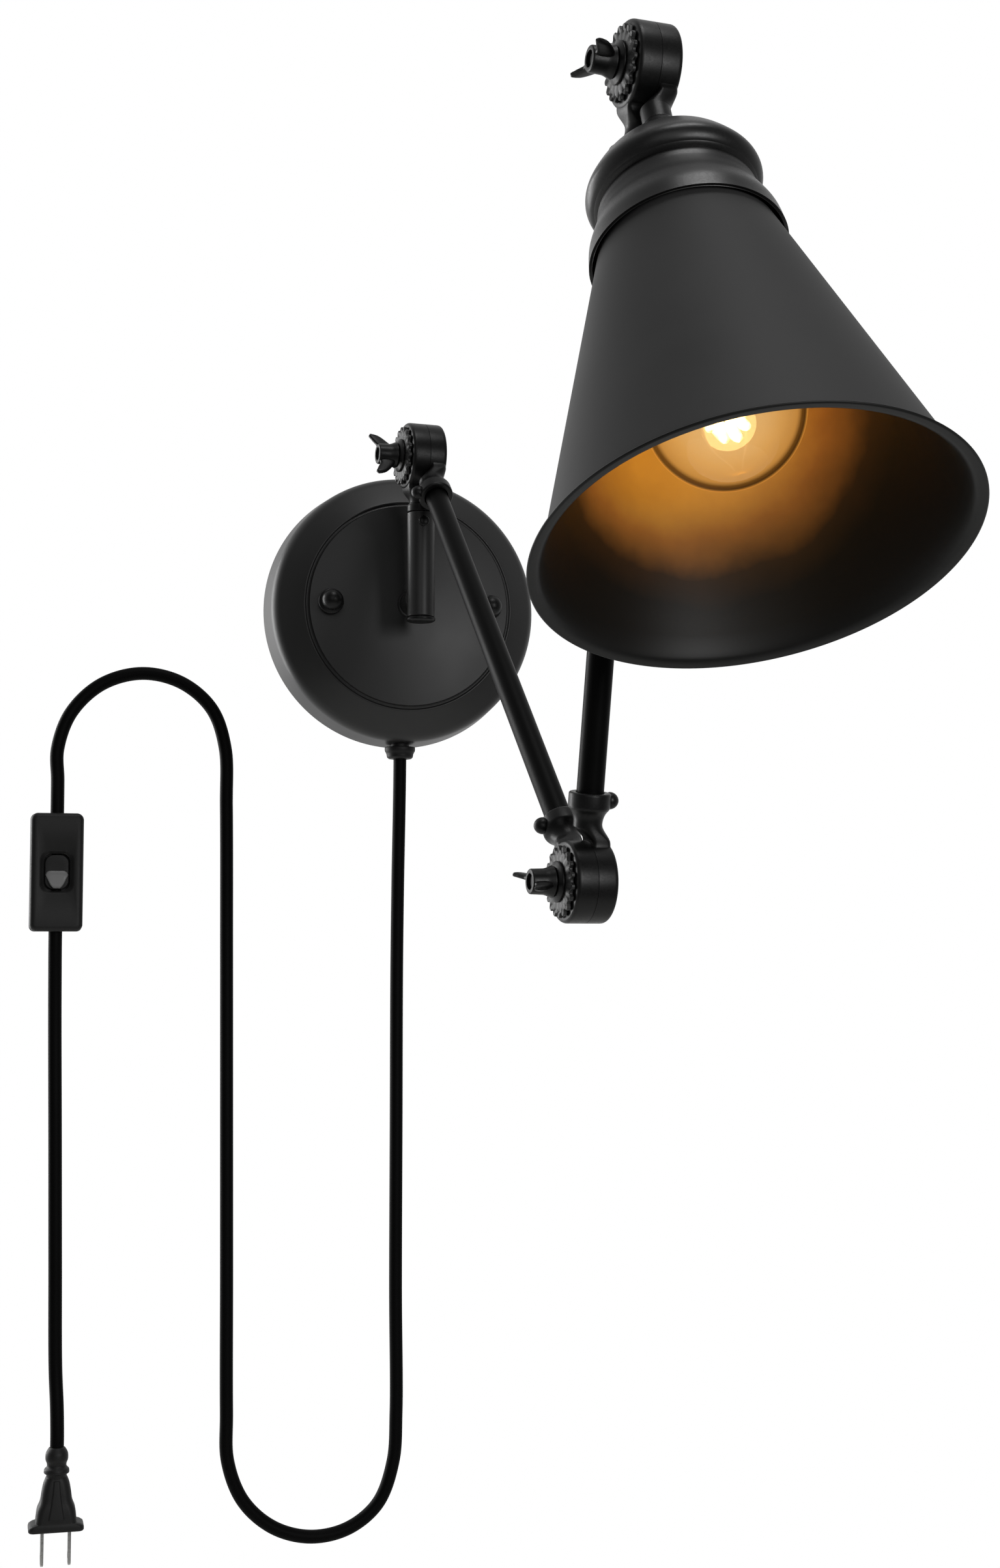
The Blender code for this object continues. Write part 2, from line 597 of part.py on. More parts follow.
def lamp_head(axis):
    """Everything on the head knuckle; local +Z runs from the knuckle to the shade's mouth."""
    down = (radians(180), 0, 0)      # profiles below are listed with height = -distance
    hole = NIPPLE_R + BORE_GAP + 0.0004
    cap_outer = [(hole, -(NECK_END + GAP)), (NECK_R + 0.0009, -(NECK_END + GAP)), (0.0110, -0.0368),
                 (0.0156, -0.0410), (0.0203, -0.0450), (0.0253, -0.0500), (0.0292, -0.0552),
                 (CAP_R, -CAP_WIDEST), (CAP_R - 0.0006, -(CAP_WIDEST + 0.0027)), (CAP_R - 0.0028, -CAP_END)]
    cap_profile = offset_ring(cap_outer, 0.0012)
    cap = turned("shade_cap", cap_profile, 32, ring=True)
    finish(cap, BLACK_CASTING, axis, (0, 0, 0), down)

    holder_hole = HOLDER_R + BORE_GAP
    flange = 0.0010
    collar_line = [(0.0068, 0.0), (0.0064, 0.0033), (0.0052, 0.0073), (0.0030, 0.0123), (0.0010, 0.0173)]
    collar_outer = [(holder_hole, -COLLAR_TOP)]
    collar_outer += [(COLLAR_R - inset, -(COLLAR_TOP + down_by)) for inset, down_by in collar_line]
    collar_outer += [(COLLAR_R, -COLLAR_END)]
    collar_inner = [(r - 0.0011, z) for r, z in collar_outer[:1:-1]]
    collar_inner += [(COLLAR_R - 0.0079, -(COLLAR_TOP + flange)), (holder_hole, -(COLLAR_TOP + flange))]
    collar = turned("shade_collar", collar_outer + collar_inner, 32, ring=True)
    finish(collar, BLACK_CASTING, axis, (0, 0, 0), down)

    slope = CONE_SLOPE
    inset = SHADE_WALL * sqrt(1 + slope * slope)
    cone_end = SHADE_R - SHADE_LIP
    turn_out = 0.0040
    shade_profile = [(holder_hole, -SHADE_TOP), (SHADE_TOP_R, -SHADE_TOP)]
    shade_profile += [(SHADE_TOP_R + slope * d, -(SHADE_TOP + d)) for d in (0.042, 0.084)]
    shade_profile += [(cone_end - slope * turn_out, -(SHADE_END - turn_out)),
                      (cone_end + 0.0006, -(SHADE_END - 0.0022)), (SHADE_R - 0.0006, -(SHADE_END - 0.0012)),
                      (SHADE_R, -(SHADE_END - 0.0006)), (SHADE_R - 0.0003, -SHADE_END),
                      (SHADE_R - 0.0012, -SHADE_END), (cone_end + 0.0003, -(SHADE_END - 0.0010)),
                      (cone_end - inset - slope * turn_out, -(SHADE_END - turn_out))]
    shade_profile += [(SHADE_TOP_R + slope * d - inset, -(SHADE_TOP + d)) for d in (0.084, 0.042, SHADE_WALL)]
    shade_profile += [(holder_hole, -(SHADE_TOP + SHADE_WALL))]
    shade = turned("shade", shade_profile, 48, ring=True)
    finish(shade, BLACK_PAINT, axis, (0, 0, 0), down)

    nipple = tube("head_nipple", NIPPLE_R, NIPPLE_R - 0.0012, -(NECK_END - 0.0052),
                  -(HOLDER_TOP + 0.0050), 16)
    finish(nipple, ZINC_STEEL, axis, (0, 0, 0), down)
    hex_nut("head_nipple_nut", 0.0110, NIPPLE_R + BORE_GAP, 0.0030, ZINC_STEEL, axis,
            (0, 0, 0.0366), (0, 0, 0))

    shoulder = COLLAR_TOP - GAP
    holder_profile = [(hole, -HOLDER_TOP), (HOLDER_R - 0.0020, -HOLDER_TOP),
                      (HOLDER_R, -(HOLDER_TOP + 0.0015)),
                      (HOLDER_R + 0.0020, -(HOLDER_TOP + 0.0020)), (HOLDER_R + 0.0020, -shoulder),
                      (HOLDER_R, -shoulder), (HOLDER_R, -HOLDER_END), (SOCKET_R + 0.0012, -HOLDER_END),
                      (SOCKET_R + 0.0012, -(HOLDER_TOP + 0.0060)), (hole, -(HOLDER_TOP + 0.0060))]
    holder = turned("lamp_holder", holder_profile, 24, ring=True)
    finish(holder, BLACK_PLASTIC, axis, (0, 0, 0), down)

    ring_start = SHADE_TOP + SHADE_WALL + GAP
    ring = tube("shade_ring", 0.0210, HOLDER_R + BORE_GAP, -ring_start, -(ring_start + 0.0050), 24)
    finish(ring, BLACK_PLASTIC, axis, (0, 0, 0), down)

    spacer = tube("shade_spacer", 0.0195, HOLDER_R + BORE_GAP, -(COLLAR_TOP + flange + GAP),
                  -(SHADE_TOP - GAP), 24)
    finish(spacer, BLACK_PLASTIC, axis, (0, 0, 0), down)

    shell = tube("screw_shell", SOCKET_R + 0.0009, SOCKET_R, -0.0820, -(HOLDER_END - 0.0010), 24)
    finish(shell, BRASS, axis, (0, 0, 0), down)
    contact_top = HOLDER_TOP + 0.0060 + GAP
    contact = turned("centre_contact", [(0, -contact_top), (0.0075, -contact_top),
                                        (0.0075, -(contact_top + 0.0015)),
                                        (0.0030, -(contact_top + 0.0025)), (0.0030, -(BULB_START - GAP)),
                                        (0, -(BULB_START - GAP))], 16)
    finish(contact, BRASS, axis, (0, 0, 0), down)


def bulb_line(offset, start, base_end):
    """The envelope's line from its neck to just before its tip, moved in by an offset."""
    neck_r = BASE_R - 0.0019
    line = [(neck_r - offset, -start), (neck_r - offset, -(base_end + 0.0020)),
            (BULB_R * 0.62 - offset, -(base_end + 0.0160)), (BULB_R * 0.84 - offset, -(BULB_MIDDLE - 0.0150))]
    radius = BULB_R - offset
    return line + [(radius * cos(radians(a)), -(BULB_MIDDLE + radius * sin(radians(a))))
                   for a in (-14, 8, 32, 58)]


def bulb(axis):
    """A clear bulb: screw base, glass envelope and the frame with its filament."""
    down = (radians(180), 0, 0)
    base_end = 0.1120
    base = turned("bulb_base", [(0, -BULB_START), (0.0045, -BULB_START), (0.0085, -(BULB_START + 0.0040)),
                                (BASE_R, -(BULB_START + 0.0070)), (BASE_R, -base_end),
                                (BASE_R - 0.0012, -base_end), (BASE_R - 0.0012, -(base_end - 0.0050)),
                                (0, -(base_end - 0.0050))], 24)
    finish(base, BRASS, axis, (0, 0, 0), down)
    start = base_end - 0.0035
    inner = bulb_line(BULB_WALL, start, base_end) + [(0, -(BULB_MIDDLE + BULB_R - BULB_WALL))]
    outer = bulb_line(0.0, start, base_end) + [(0, -(BULB_MIDDLE + BULB_R))]
    glass = turned("bulb_glass", inner[::-1] + outer, 24)
    finish(glass, CLEAR_GLASS, axis, (0, 0, 0), down)

    curve = bpy.data.curves.new("bulb_filament", "CURVE")
    curve.dimensions = "3D"
    curve.bevel_depth = 0.0007
    curve.bevel_resolution = 1
    curve.use_fill_caps = True
    foot = base_end - 0.0042
    points = [(-0.0030, 0, foot), (-0.0036, 0, foot + 0.018), (-0.0085, 0, foot + 0.034)]
    for i in range(9):
        angle = pi - pi * i / 8
        points.append((0.0095 * cos(angle), 0, foot + 0.042 + 0.0080 * sin(angle)))
    points += [(0.0085, 0, foot + 0.034), (0.0036, 0, foot + 0.018), (0.0030, 0, foot)]
    spline = curve.splines.new("POLY")
    spline.points.add(len(points) - 1)
    for point, co in zip(spline.points, points):
        point.co = (*co, 1.0)
    wire = bpy.data.objects.new("bulb_filament", curve)
    PARTS.objects.link(wire)
    finish(wire, FILAMENT_GLOW, axis, smooth=False)


# ---- Cord, switch and plug ----------------------------------------------------------------
CORD_START = (0.0, GLAND_Y, -0.0560)
CORD_TO_SWITCH = [CORD_START, (0.0, GLAND_Y, -0.078), (0.0, -0.0088, -0.100), (0.0, -0.0060, -0.135),
                  (0.0, CORD_Y, -0.180), (0.0, CORD_Y, -0.260), (0.0, CORD_Y, -0.340),
                  (0.0005, CORD_Y, -0.400),
                  (-0.0010, CORD_Y, -0.424), (-0.0085, CORD_Y, -0.4435), (-0.0230, CORD_Y, -0.4545),
                  (-0.0415, CORD_Y, -0.4575), (-0.0600, CORD_Y, -0.4520), (-0.0750, CORD_Y, -0.4385),
                  (-0.0828, CORD_Y, -0.4190), (-0.0836, CORD_Y, -0.395), (-0.0842, CORD_Y, -0.330),
                  (-0.0850, CORD_Y, -0.250), (-0.0858, CORD_Y, -0.170), (-0.0866, CORD_Y, -0.100),
                  (-0.0876, CORD_Y, -0.0700), (-0.0945, CORD_Y, -0.0510), (-0.1095, CORD_Y, -0.0385),
                  (-0.1290, CORD_Y, -0.0345), (-0.1485, CORD_Y, -0.0405), (-0.1630, CORD_Y, -0.0550),
                  (-0.1692, CORD_Y - 0.0005, -0.0730), (SWITCH_X, -0.0073, -0.0880),
                  (SWITCH_X, -SWITCH_DEPTH / 2, -0.0990), (SWITCH_X, -SWITCH_DEPTH / 2, SWITCH_TOP_Z + GAP)]
CORD_TO_PLUG = [(SWITCH_X, -SWITCH_DEPTH / 2, SWITCH_BOTTOM_Z - GAP), (SWITCH_X, -SWITCH_DEPTH / 2, -0.1685),
                (SWITCH_X + 0.0002, -0.0068, -0.181),
                (-0.1684, CORD_Y, -0.205), (-0.1674, CORD_Y, -0.260), (-0.1664, CORD_Y, -0.320),
                (-0.1655, CORD_Y, -0.370), (PLUG_X - 0.0003, -0.0062, -0.388), (PLUG_X, PLUG_Y, -0.4010),
                (PLUG_X, PLUG_Y, PLUG_TOP_Z + GAP)]


def smooth_route(points, spacing):
    """Points about one spacing apart on a centripetal Catmull-Rom curve through the route."""
    knots = [Vector(p) for p in points]
    knots = [2 * knots[0] - knots[1]] + knots + [2 * knots[-1] - knots[-2]]
    route = [knots[1]]
    for a, b, c, d in zip(knots, knots[1:], knots[2:], knots[3:]):
        t1 = (b - a).length ** 0.5
        t2 = t1 + (c - b).length ** 0.5
        t3 = t2 + (d - c).length ** 0.5
        count = max(1, round((c - b).length / spacing))
        for i in range(1, count + 1):
            t = t1 + (t2 - t1) * i / count
            a1 = a * ((t1 - t) / t1) + b * (t / t1)
            a2 = b * ((t2 - t) / (t2 - t1)) + c * ((t - t1) / (t2 - t1))
            a3 = c * ((t3 - t) / (t3 - t2)) + d * ((t - t2) / (t3 - t2))
            b1 = a1 * ((t2 - t) / t2) + a2 * (t / t2)
            b2 = a2 * ((t3 - t) / (t3 - t1)) + a3 * ((t - t1) / (t3 - t1))
            route.append(b1 * ((t2 - t) / (t2 - t1)) + b2 * ((t - t1) / (t2 - t1)))
    return route


def cord(name, points):
    curve = bpy.data.curves.new(name, "CURVE")
    curve.dimensions = "3D"
    curve.bevel_depth = CORD_R
    curve.bevel_resolution = 2
    curve.use_fill_caps = True
    route = smooth_route(points, 0.0195)
    spline = curve.splines.new("POLY")
    spline.points.add(len(route) - 1)
    for point, co in zip(spline.points, route):
        point.co = (*co, 1.0)
    obj = bpy.data.objects.new(name, curve)
    PARTS.objects.link(obj)
    finish(obj, CORD_PVC, smooth=False)


def inline_switch():
    """Two moulded shells split at mid depth, with a rocker in a window of the cover."""
    middle_z = SWITCH_TOP_Z - SWITCH_LENGTH / 2
    split = SWITCH_DEPTH / 2
    wall = 0.0018
    base_depth = split - GAP / 2 - GAP
    base = block("switch_base", (SWITCH_WIDTH, base_depth, SWITCH_LENGTH),
                 (0, -(GAP + base_depth / 2), 0), bevel=0.0022, segments=2)
    finish(base, BLACK_PLASTIC, None, (SWITCH_X, 0, middle_z))
    base_room = block("switch_base_room", (SWITCH_WIDTH - 2 * wall, base_depth, SWITCH_LENGTH - 0.016),
                      (0, -(GAP + base_depth / 2 + wall), 0), collection=CUTTERS)
    cover_depth = SWITCH_DEPTH - split - GAP / 2
    cover = block("switch_cover", (SWITCH_WIDTH, cover_depth, SWITCH_LENGTH),
                  (0, -(split + GAP / 2 + cover_depth / 2), 0), bevel=0.0022, segments=2)
    finish(cover, BLACK_PLASTIC, None, (SWITCH_X, 0, middle_z))
    cover_room = block("switch_cover_room", (SWITCH_WIDTH - 2 * wall, cover_depth, SWITCH_LENGTH - 0.016),
                       (0, -(split + GAP / 2 + cover_depth / 2 - wall), 0), collection=CUTTERS)
    window = block("switch_window", (ROCKER_WIDTH + 0.0012, 0.012, ROCKER_LENGTH + 0.0016),
                   (0, -SWITCH_DEPTH, 0), collection=CUTTERS)
    for cutter in (base_room, cover_room, window):
        cutter.location = (SWITCH_X, 0, middle_z)
    boolean(base, base_room, "DIFFERENCE")
    boolean(cover, cover_room, "DIFFERENCE")
    boolean(cover, window, "DIFFERENCE")

    half = ROCKER_LENGTH / 2
    dip = 0.0012
    face = [(-half, dip), (0, 0), (half, dip), (half - 0.0006, 0.0062), (-half + 0.0006, 0.0062)]
    rocker = outline("rocker", [face], ROCKER_WIDTH)
    rocker = as_mesh(rocker)
    rocker.data.transform(rocker_frame())
    tilt = radians(ROCKER_REST_DEG)
    finish(rocker, ROCKER_GREY, None, (SWITCH_X, ROCKER_AXIS_Y, middle_z), (tilt, 0, 0), smooth=False)


def rocker_frame():
    """Moves the rocker's outline to its pivot: outline X along Z, outline Y into the switch."""
    return Matrix(((0, 0, 1, 0), (0, 1, 0, -0.0052), (-1, 0, 0, 0), (0, 0, 0, 1)))


def plug():
    """Two-blade plug: boot on the cord, moulded body and two flat blades."""
    top = PLUG_TOP_Z
    boot = turned("plug_boot", [(0, 0), (0.0037, -0.0004), (0.0054, -0.0026), (0.0054, -0.0054),
                                (0.0046, -0.0072), (0.0045, -0.0086), (0.0058, -0.0098), (0.0060, -0.0116),
                                (0.0048, -0.0123), (0.0048, -0.0130), (0, -0.0130)], 16)
    finish(boot, BLACK_PLASTIC, None, (PLUG_X, PLUG_Y, top))
    body_top = top - 0.0130 - GAP
    body_length = 0.0210
    flange = 0.0038
    body = turned("plug_body", [(0, 0), (0.0051, 0), (0.0061, -0.0028), (0.0071, -0.0092), (0.0090, -0.0148),
                                (0.0097, -body_length), (0, -body_length)], 24)
    body = as_mesh(body)
    body.data.transform(squash_depth())
    finish(body, BLACK_PLASTIC, None, (PLUG_X, PLUG_Y, body_top))
    rim = block("plug_rim", (0.0258, 0.0138, flange), (0, 0, -body_length - flange / 2 + 0.0004),
                collection=CUTTERS, bevel=0.0012)
    rim.location = (PLUG_X, PLUG_Y, body_top)
    boolean(body, rim, "UNION")
    face = body_top - body_length - flange + 0.0004
    for side, word in ((-1, "left"), (1, "right")):
        x = PLUG_X + side * BLADE_SPACING / 2
        slot = block(f"blade_slot_{word}", (0.0021, 0.0070, 0.0060), (0, 0, 0), collection=CUTTERS)
        slot.location = (x, PLUG_Y, face + 0.0025)
        boolean(body, slot, "DIFFERENCE")
        hole = circle(0.0016, 12, (0, -BLADE_LENGTH + 0.0042))
        blade = outline(f"plug_blade_{word}", [blade_points(), hole], 0.0015)
        blade = as_mesh(blade)
        finish(blade, ZINC_STEEL, None, (x, PLUG_Y, face), (radians(90), 0, radians(90)), smooth=False)


def blade_points():
    """Side view of a blade: chamfered end, root up inside the body."""
    half = 0.00317
    return [(half, 0.0048), (-half, 0.0048), (-half, -BLADE_LENGTH + 0.0016), (-half + 0.0016, -BLADE_LENGTH),
            (half - 0.0016, -BLADE_LENGTH), (half, -BLADE_LENGTH + 0.0016)]


def squash_depth():
    """The plug body is oval: narrower from back to front than from side to side."""
    return Matrix.Scale(0.72, 4, Vector((0, 1, 0)))


# ---- Assembly -----------------------------------------------------------------------------
def build():
    wall_plate()
    mounting_bracket()
    studs_and_nuts()
    post()
    nipple_and_nuts()
    gland()

    swing = empty("swing_axis", None, (0, -POST_STANDOFF, 0), 0, radians(SWING_DEG))
    stem = empty("stem_axis", swing, (0, 0, SHOULDER_Z))
    lower = empty("lower_arm_axis", swing, (0, 0, SHOULDER_Z), radians(LOWER_ARM_DEG))
    upper = empty("upper_arm_axis", lower, (0, 0, LOWER_ARM), radians(UPPER_ARM_DEG - LOWER_ARM_DEG))
    head = empty("head_axis", upper, (0, 0, UPPER_ARM), radians(HEAD_DEG - UPPER_ARM_DEG))

    knuckle_half("shoulder_left_half", stem, -1, 0.0, False, stem_profile())
    washers("shoulder", stem, 0.0)
    clamp_bolt("shoulder", lower, 0.0)
    wing_nut("shoulder", lower, 0.0, radians(-35 - LOWER_ARM_DEG))
    arm("lower_arm", lower, LOWER_ARM, "shoulder_right_half", "elbow_left_half", -1, -1)
    washers("elbow", lower, LOWER_ARM)
    clamp_bolt("elbow", upper, 0.0)
    wing_nut("elbow", upper, 0.0, radians(104 - UPPER_ARM_DEG))
    arm("upper_arm", upper, UPPER_ARM, "elbow_right_half", "head_left_half", 1, -1)
    washers("head", upper, UPPER_ARM)
    clamp_bolt("head", head, 0.0)
    wing_nut("head", head, 0.0, radians(84 - HEAD_DEG))
    knuckle_half("head_right_half", head, 1, 0.0, True, head_neck_profile())
    lamp_head(head)
    bulb(head)

    cord("cord_to_switch", CORD_TO_SWITCH)
    cord("cord_to_plug", CORD_TO_PLUG)
    inline_switch()
    plug()


build()
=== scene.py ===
# %% [markdown]
# # A swing arm wall lamp
# A black wall lamp: a round plate on the wall, a short upright post, two tube arms that meet in
# three clamped knuckles, a cone shade with a clear lit bulb, and a cord with a switch and a plug.
# The solid model is already made. Here every visible piece gets its finished surface and its
# material, and each one moves with the body of the solid model that it belongs to.

# %% Load the solid model
import math

import bmesh
import bpy
import numpy as np
from mathutils import Matrix


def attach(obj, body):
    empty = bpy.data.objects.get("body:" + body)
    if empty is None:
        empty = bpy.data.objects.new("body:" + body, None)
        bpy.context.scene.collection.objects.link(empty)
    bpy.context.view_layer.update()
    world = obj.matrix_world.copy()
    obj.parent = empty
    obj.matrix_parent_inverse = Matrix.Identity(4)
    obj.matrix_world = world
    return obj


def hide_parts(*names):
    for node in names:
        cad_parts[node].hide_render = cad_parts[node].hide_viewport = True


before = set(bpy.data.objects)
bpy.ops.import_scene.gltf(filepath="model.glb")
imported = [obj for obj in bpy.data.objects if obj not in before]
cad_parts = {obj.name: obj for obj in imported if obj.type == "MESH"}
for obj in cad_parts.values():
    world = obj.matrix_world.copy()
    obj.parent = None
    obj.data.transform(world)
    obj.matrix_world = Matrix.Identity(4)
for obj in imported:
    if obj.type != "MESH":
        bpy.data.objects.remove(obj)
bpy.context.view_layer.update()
scene = bpy.context.scene

# %% [markdown]
# ## Camera
# The lamp is seen from the left and a little below, which shows the inside of the shade. A 47 mm
# lens at about one metre keeps the perspective mild. The camera looks slightly up.

# %% Camera
camera_data = bpy.data.cameras.new("camera")
camera_data.sensor_width = 36.0
camera_data.lens = 47.38
camera_data.clip_start = 0.05
camera = bpy.data.objects.new("camera", camera_data)
camera.location = (-0.2048, -1.031, -0.1662)
camera.rotation_euler = (math.radians(94.33), 0.0, math.radians(-14.13))
scene.collection.objects.link(camera)
scene.camera = camera

# %% [markdown]
# ## Surfaces as arrays
# Each piece is a surface with two parameters, worked out as one array of points. A turned piece
# is a line of (radius, height) points carried round an axis. A lofted piece is a row of closed
# sections. A swept piece is a circle carried along a path. These helpers make the point grids,
# and one more puts grids into a mesh, closes the poles and turns the faces outwards.

# %% Point grids


def rounded(points, fillet, steps=6):
    """Rounds the inner corners of an open line. A corner P becomes the quadratic curve
    (1-t)^2 A + 2t(1-t) P + t^2 B, where A and B lie one fillet from P along its two edges,
    and never past 45 percent of an edge."""
    p = np.asarray(points, float)
    corner = p[1:-1]
    size = np.broadcast_to(np.asarray(fillet, float), len(corner))[:, None]
    back, ahead = p[:-2] - corner, p[2:] - corner
    back_length = np.linalg.norm(back, axis=1, keepdims=True)
    ahead_length = np.linalg.norm(ahead, axis=1, keepdims=True)
    a = corner + back / back_length * np.minimum(size, 0.45 * back_length)
    b = corner + ahead / ahead_length * np.minimum(size, 0.45 * ahead_length)
    t = np.linspace(0, 1, steps)[None, :, None]
    arcs = (1 - t) ** 2 * a[:, None] + 2 * t * (1 - t) * corner[:, None] + t**2 * b[:, None]
    return np.vstack([p[:1], arcs.reshape(-1, p.shape[1]), p[-1:]])


def revolve(line, turns=96):
    """Surface of revolution: (r, h) at the angle a becomes (r cos a, r sin a, h)."""
    r, h = np.asarray(line, float).T
    a = np.arange(turns) * 2 * np.pi / turns
    return np.stack(
        [np.outer(r, np.cos(a)), np.outer(r, np.sin(a)), np.repeat(h[:, None], turns, 1)], -1
    )


def rounded_rectangle(half_x, half_y, radius, count=48):
    """Loop of a rectangle with round corners: the corner's centre, picked by the signs of
    (cos a, sin a), plus radius times (cos a, sin a)."""
    a = (np.arange(count) + 0.5) * 2 * np.pi / count
    c, s = np.cos(a), np.sin(a)
    r = min(radius, half_x, half_y)
    return np.stack(
        [np.sign(c) * (half_x - r) + r * c, np.sign(s) * (half_y - r) + r * s], -1
    )


def circle(radius, count=48):
    """Loop radius (cos a, sin a), at the same angles as a rounded rectangle."""
    a = (np.arange(count) + 0.5) * 2 * np.pi / count
    return np.stack([radius * np.cos(a), radius * np.sin(a)], -1)


def stack_sections(loops, heights):
    """Flat loops at their heights, with each end drawn in to its middle so that it closes."""
    h = np.asarray(heights, float)
    body = np.concatenate(
        [np.asarray(loops, float), np.broadcast_to(h[:, None, None], (*np.shape(loops)[:2], 1))], -1
    )
    ends = body[[0, -1]].mean(axis=1, keepdims=True).repeat(body.shape[1], axis=1)
    return np.concatenate([ends[:1], body, ends[1:]])


def sweep(path, radius, sides, reference=(0.0, 1.0, 0.0)):
    """Circle carried along a path: p + radius (cos a u + sin a v), where u is the unit vector
    across both the path and the reference direction, and v is across the path and u."""
    path = np.asarray(path, float)
    along = np.gradient(path, axis=0)
    along /= np.linalg.norm(along, axis=1, keepdims=True)
    u = np.cross(along, reference)
    u /= np.linalg.norm(u, axis=1, keepdims=True)
    v = np.cross(along, u)
    a = np.arange(sides) * 2 * np.pi / sides
    ring = np.cos(a)[None, :, None] * u[:, None] + np.sin(a)[None, :, None] * v[:, None]
    size = np.broadcast_to(np.asarray(radius, float), len(path))[:, None, None]
    grid = path[:, None] + size * ring
    ends = path[[0, -1]][:, None].repeat(sides, axis=1)
    return np.concatenate([ends[:1], grid, ends[1:]])


def smooth_path(points, steps):
    """Centripetal Catmull-Rom curve through the points: between two of them it blends the
    parabolas through their neighbours, with knots spaced by the root of the distance."""
    p = np.asarray(points, float)
    p = np.vstack([2 * p[0] - p[1], p, 2 * p[-1] - p[-2]])
    a, b, c, d = p[:-3, None], p[1:-2, None], p[2:-1, None], p[3:, None]
    t1 = np.linalg.norm(b - a, axis=-1, keepdims=True) ** 0.5
    t2 = t1 + np.linalg.norm(c - b, axis=-1, keepdims=True) ** 0.5
    t3 = t2 + np.linalg.norm(d - c, axis=-1, keepdims=True) ** 0.5
    t = t1 + (t2 - t1) * (np.arange(steps) / steps)[None, :, None]
    a1 = a * (t1 - t) / t1 + b * t / t1
    a2 = b * (t2 - t) / (t2 - t1) + c * (t - t1) / (t2 - t1)
    a3 = c * (t3 - t) / (t3 - t2) + d * (t - t2) / (t3 - t2)
    b1 = a1 * (t2 - t) / t2 + a2 * t / t2
    b2 = a2 * (t3 - t) / (t3 - t1) + a3 * (t - t1) / (t3 - t1)
    curve = b1 * (t2 - t) / (t2 - t1) + b2 * (t - t1) / (t2 - t1)
    return np.vstack([curve.reshape(-1, p.shape[1]), p[-2]])


# %% Places


def turn(axis, degrees):
    """Rotation about an axis, as a 4 by 4 array."""
    return np.array(Matrix.Rotation(math.radians(degrees), 4, axis))


def move(x, y, z):
    """Translation, as a 4 by 4 array."""
    return np.array(Matrix.Translation((x, y, z)))


# Lengths go from knuckle to knuckle, and tilts are measured from straight up.
POST_Y, SHOULDER_HEIGHT, SWING_DEGREES = 0.06, 0.0687, 5.6
LOWER_LENGTH, UPPER_LENGTH = 0.298, 0.304
LOWER_TILT, UPPER_TILT, HEAD_TILT = 135.5, 11.9, 156.0
AWAY = turn("X", 90)  # local Z to -Y, away from the wall
POST_AXIS = move(0, -POST_Y, 0)
SWING = POST_AXIS @ turn("Z", SWING_DEGREES)
STEM = SWING @ move(0, 0, SHOULDER_HEIGHT)
LOWER = STEM @ turn("X", LOWER_TILT)
LOWER_END = LOWER @ move(0, 0, LOWER_LENGTH)
UPPER = LOWER_END @ turn("X", UPPER_TILT - LOWER_TILT)
UPPER_END = UPPER @ move(0, 0, UPPER_LENGTH)
HEAD = UPPER_END @ turn("X", HEAD_TILT - UPPER_TILT)
print("head knuckle at", np.round(HEAD[:3, 3], 4))


def apply(place, grid):
    """Every point p of a grid becomes R p + t of a 4 by 4 place."""
    return np.asarray(grid) @ place[:3, :3].T + place[:3, 3]


# %% Grids to a mesh


def quads(rows, columns, ring):
    """Faces (i,j) (i,j+1) (i+1,j+1) (i+1,j) of a grid that wraps in its columns, and in its
    rows too where it is a ring."""
    i = np.arange(rows if ring else rows - 1)[:, None]
    j = np.arange(columns)[None, :]
    k, m = (i + 1) % rows, (j + 1) % columns
    return np.stack([i * columns + j, i * columns + m, k * columns + m, k * columns + j], -1)


def map_grid(mesh, grid, along):
    """A UV map for a grid that wraps in its columns: u is the share of a turn, and v is the
    distance along the rows in metres."""
    rows, columns = grid.shape[:2]
    u = np.arange(columns + 1) / columns
    v = np.asarray(along)
    corners = np.empty((rows - 1, columns, 4, 2))
    corners[..., 0] = np.stack([u[:-1], u[1:], u[1:], u[:-1]], -1)
    corners[..., 1] = np.stack([v[:-1], v[:-1], v[1:], v[1:]], -1)[:, None]
    mesh.uv_layers.new(name="along").uv.foreach_set("vector", corners.ravel())


def piece(
    name, grids, material, body, replaces=(), angle=38, second=None, along=None
):
    """One mesh from several (grid, ring) surfaces. second = (material, rows) gives the rows of
    the first grid that carry another finish, and along is the distance of its rows for a map."""
    points, faces, marks, start = [], [], [], 0
    for number, (grid, ring) in enumerate(grids):
        rows, columns = grid.shape[:2]
        face = quads(rows, columns, ring)
        mark = np.zeros(face.shape[:2], int)
        if second and number == 0:
            mark[second[1]] = 1
        points.append(grid.reshape(-1, 3))
        faces.append(face.reshape(-1, 4) + start)
        marks.append(mark.ravel())
        start += rows * columns
    mesh = bpy.data.meshes.new(name)
    mesh.from_pydata(np.concatenate(points), [], np.concatenate(faces))
    mesh.polygons.foreach_set("material_index", np.concatenate(marks))
    mesh.materials.append(material)
    if second:
        mesh.materials.append(second[0])
    if along is not None:
        map_grid(mesh, grids[0][0], along)
    work = bmesh.new()
    work.from_mesh(mesh)
    bmesh.ops.remove_doubles(work, verts=work.verts, dist=1e-7)
    bmesh.ops.recalc_face_normals(work, faces=work.faces)
    work.to_mesh(mesh)
    work.free()
    mesh.shade_smooth()
    mesh.set_sharp_from_angle(angle=math.radians(angle))
    thing = bpy.data.objects.new(name, mesh)
    scene.collection.objects.link(thing)
    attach(thing, body)
    if replaces:
        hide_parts(*([replaces] if isinstance(replaces, str) else replaces))
    return thing


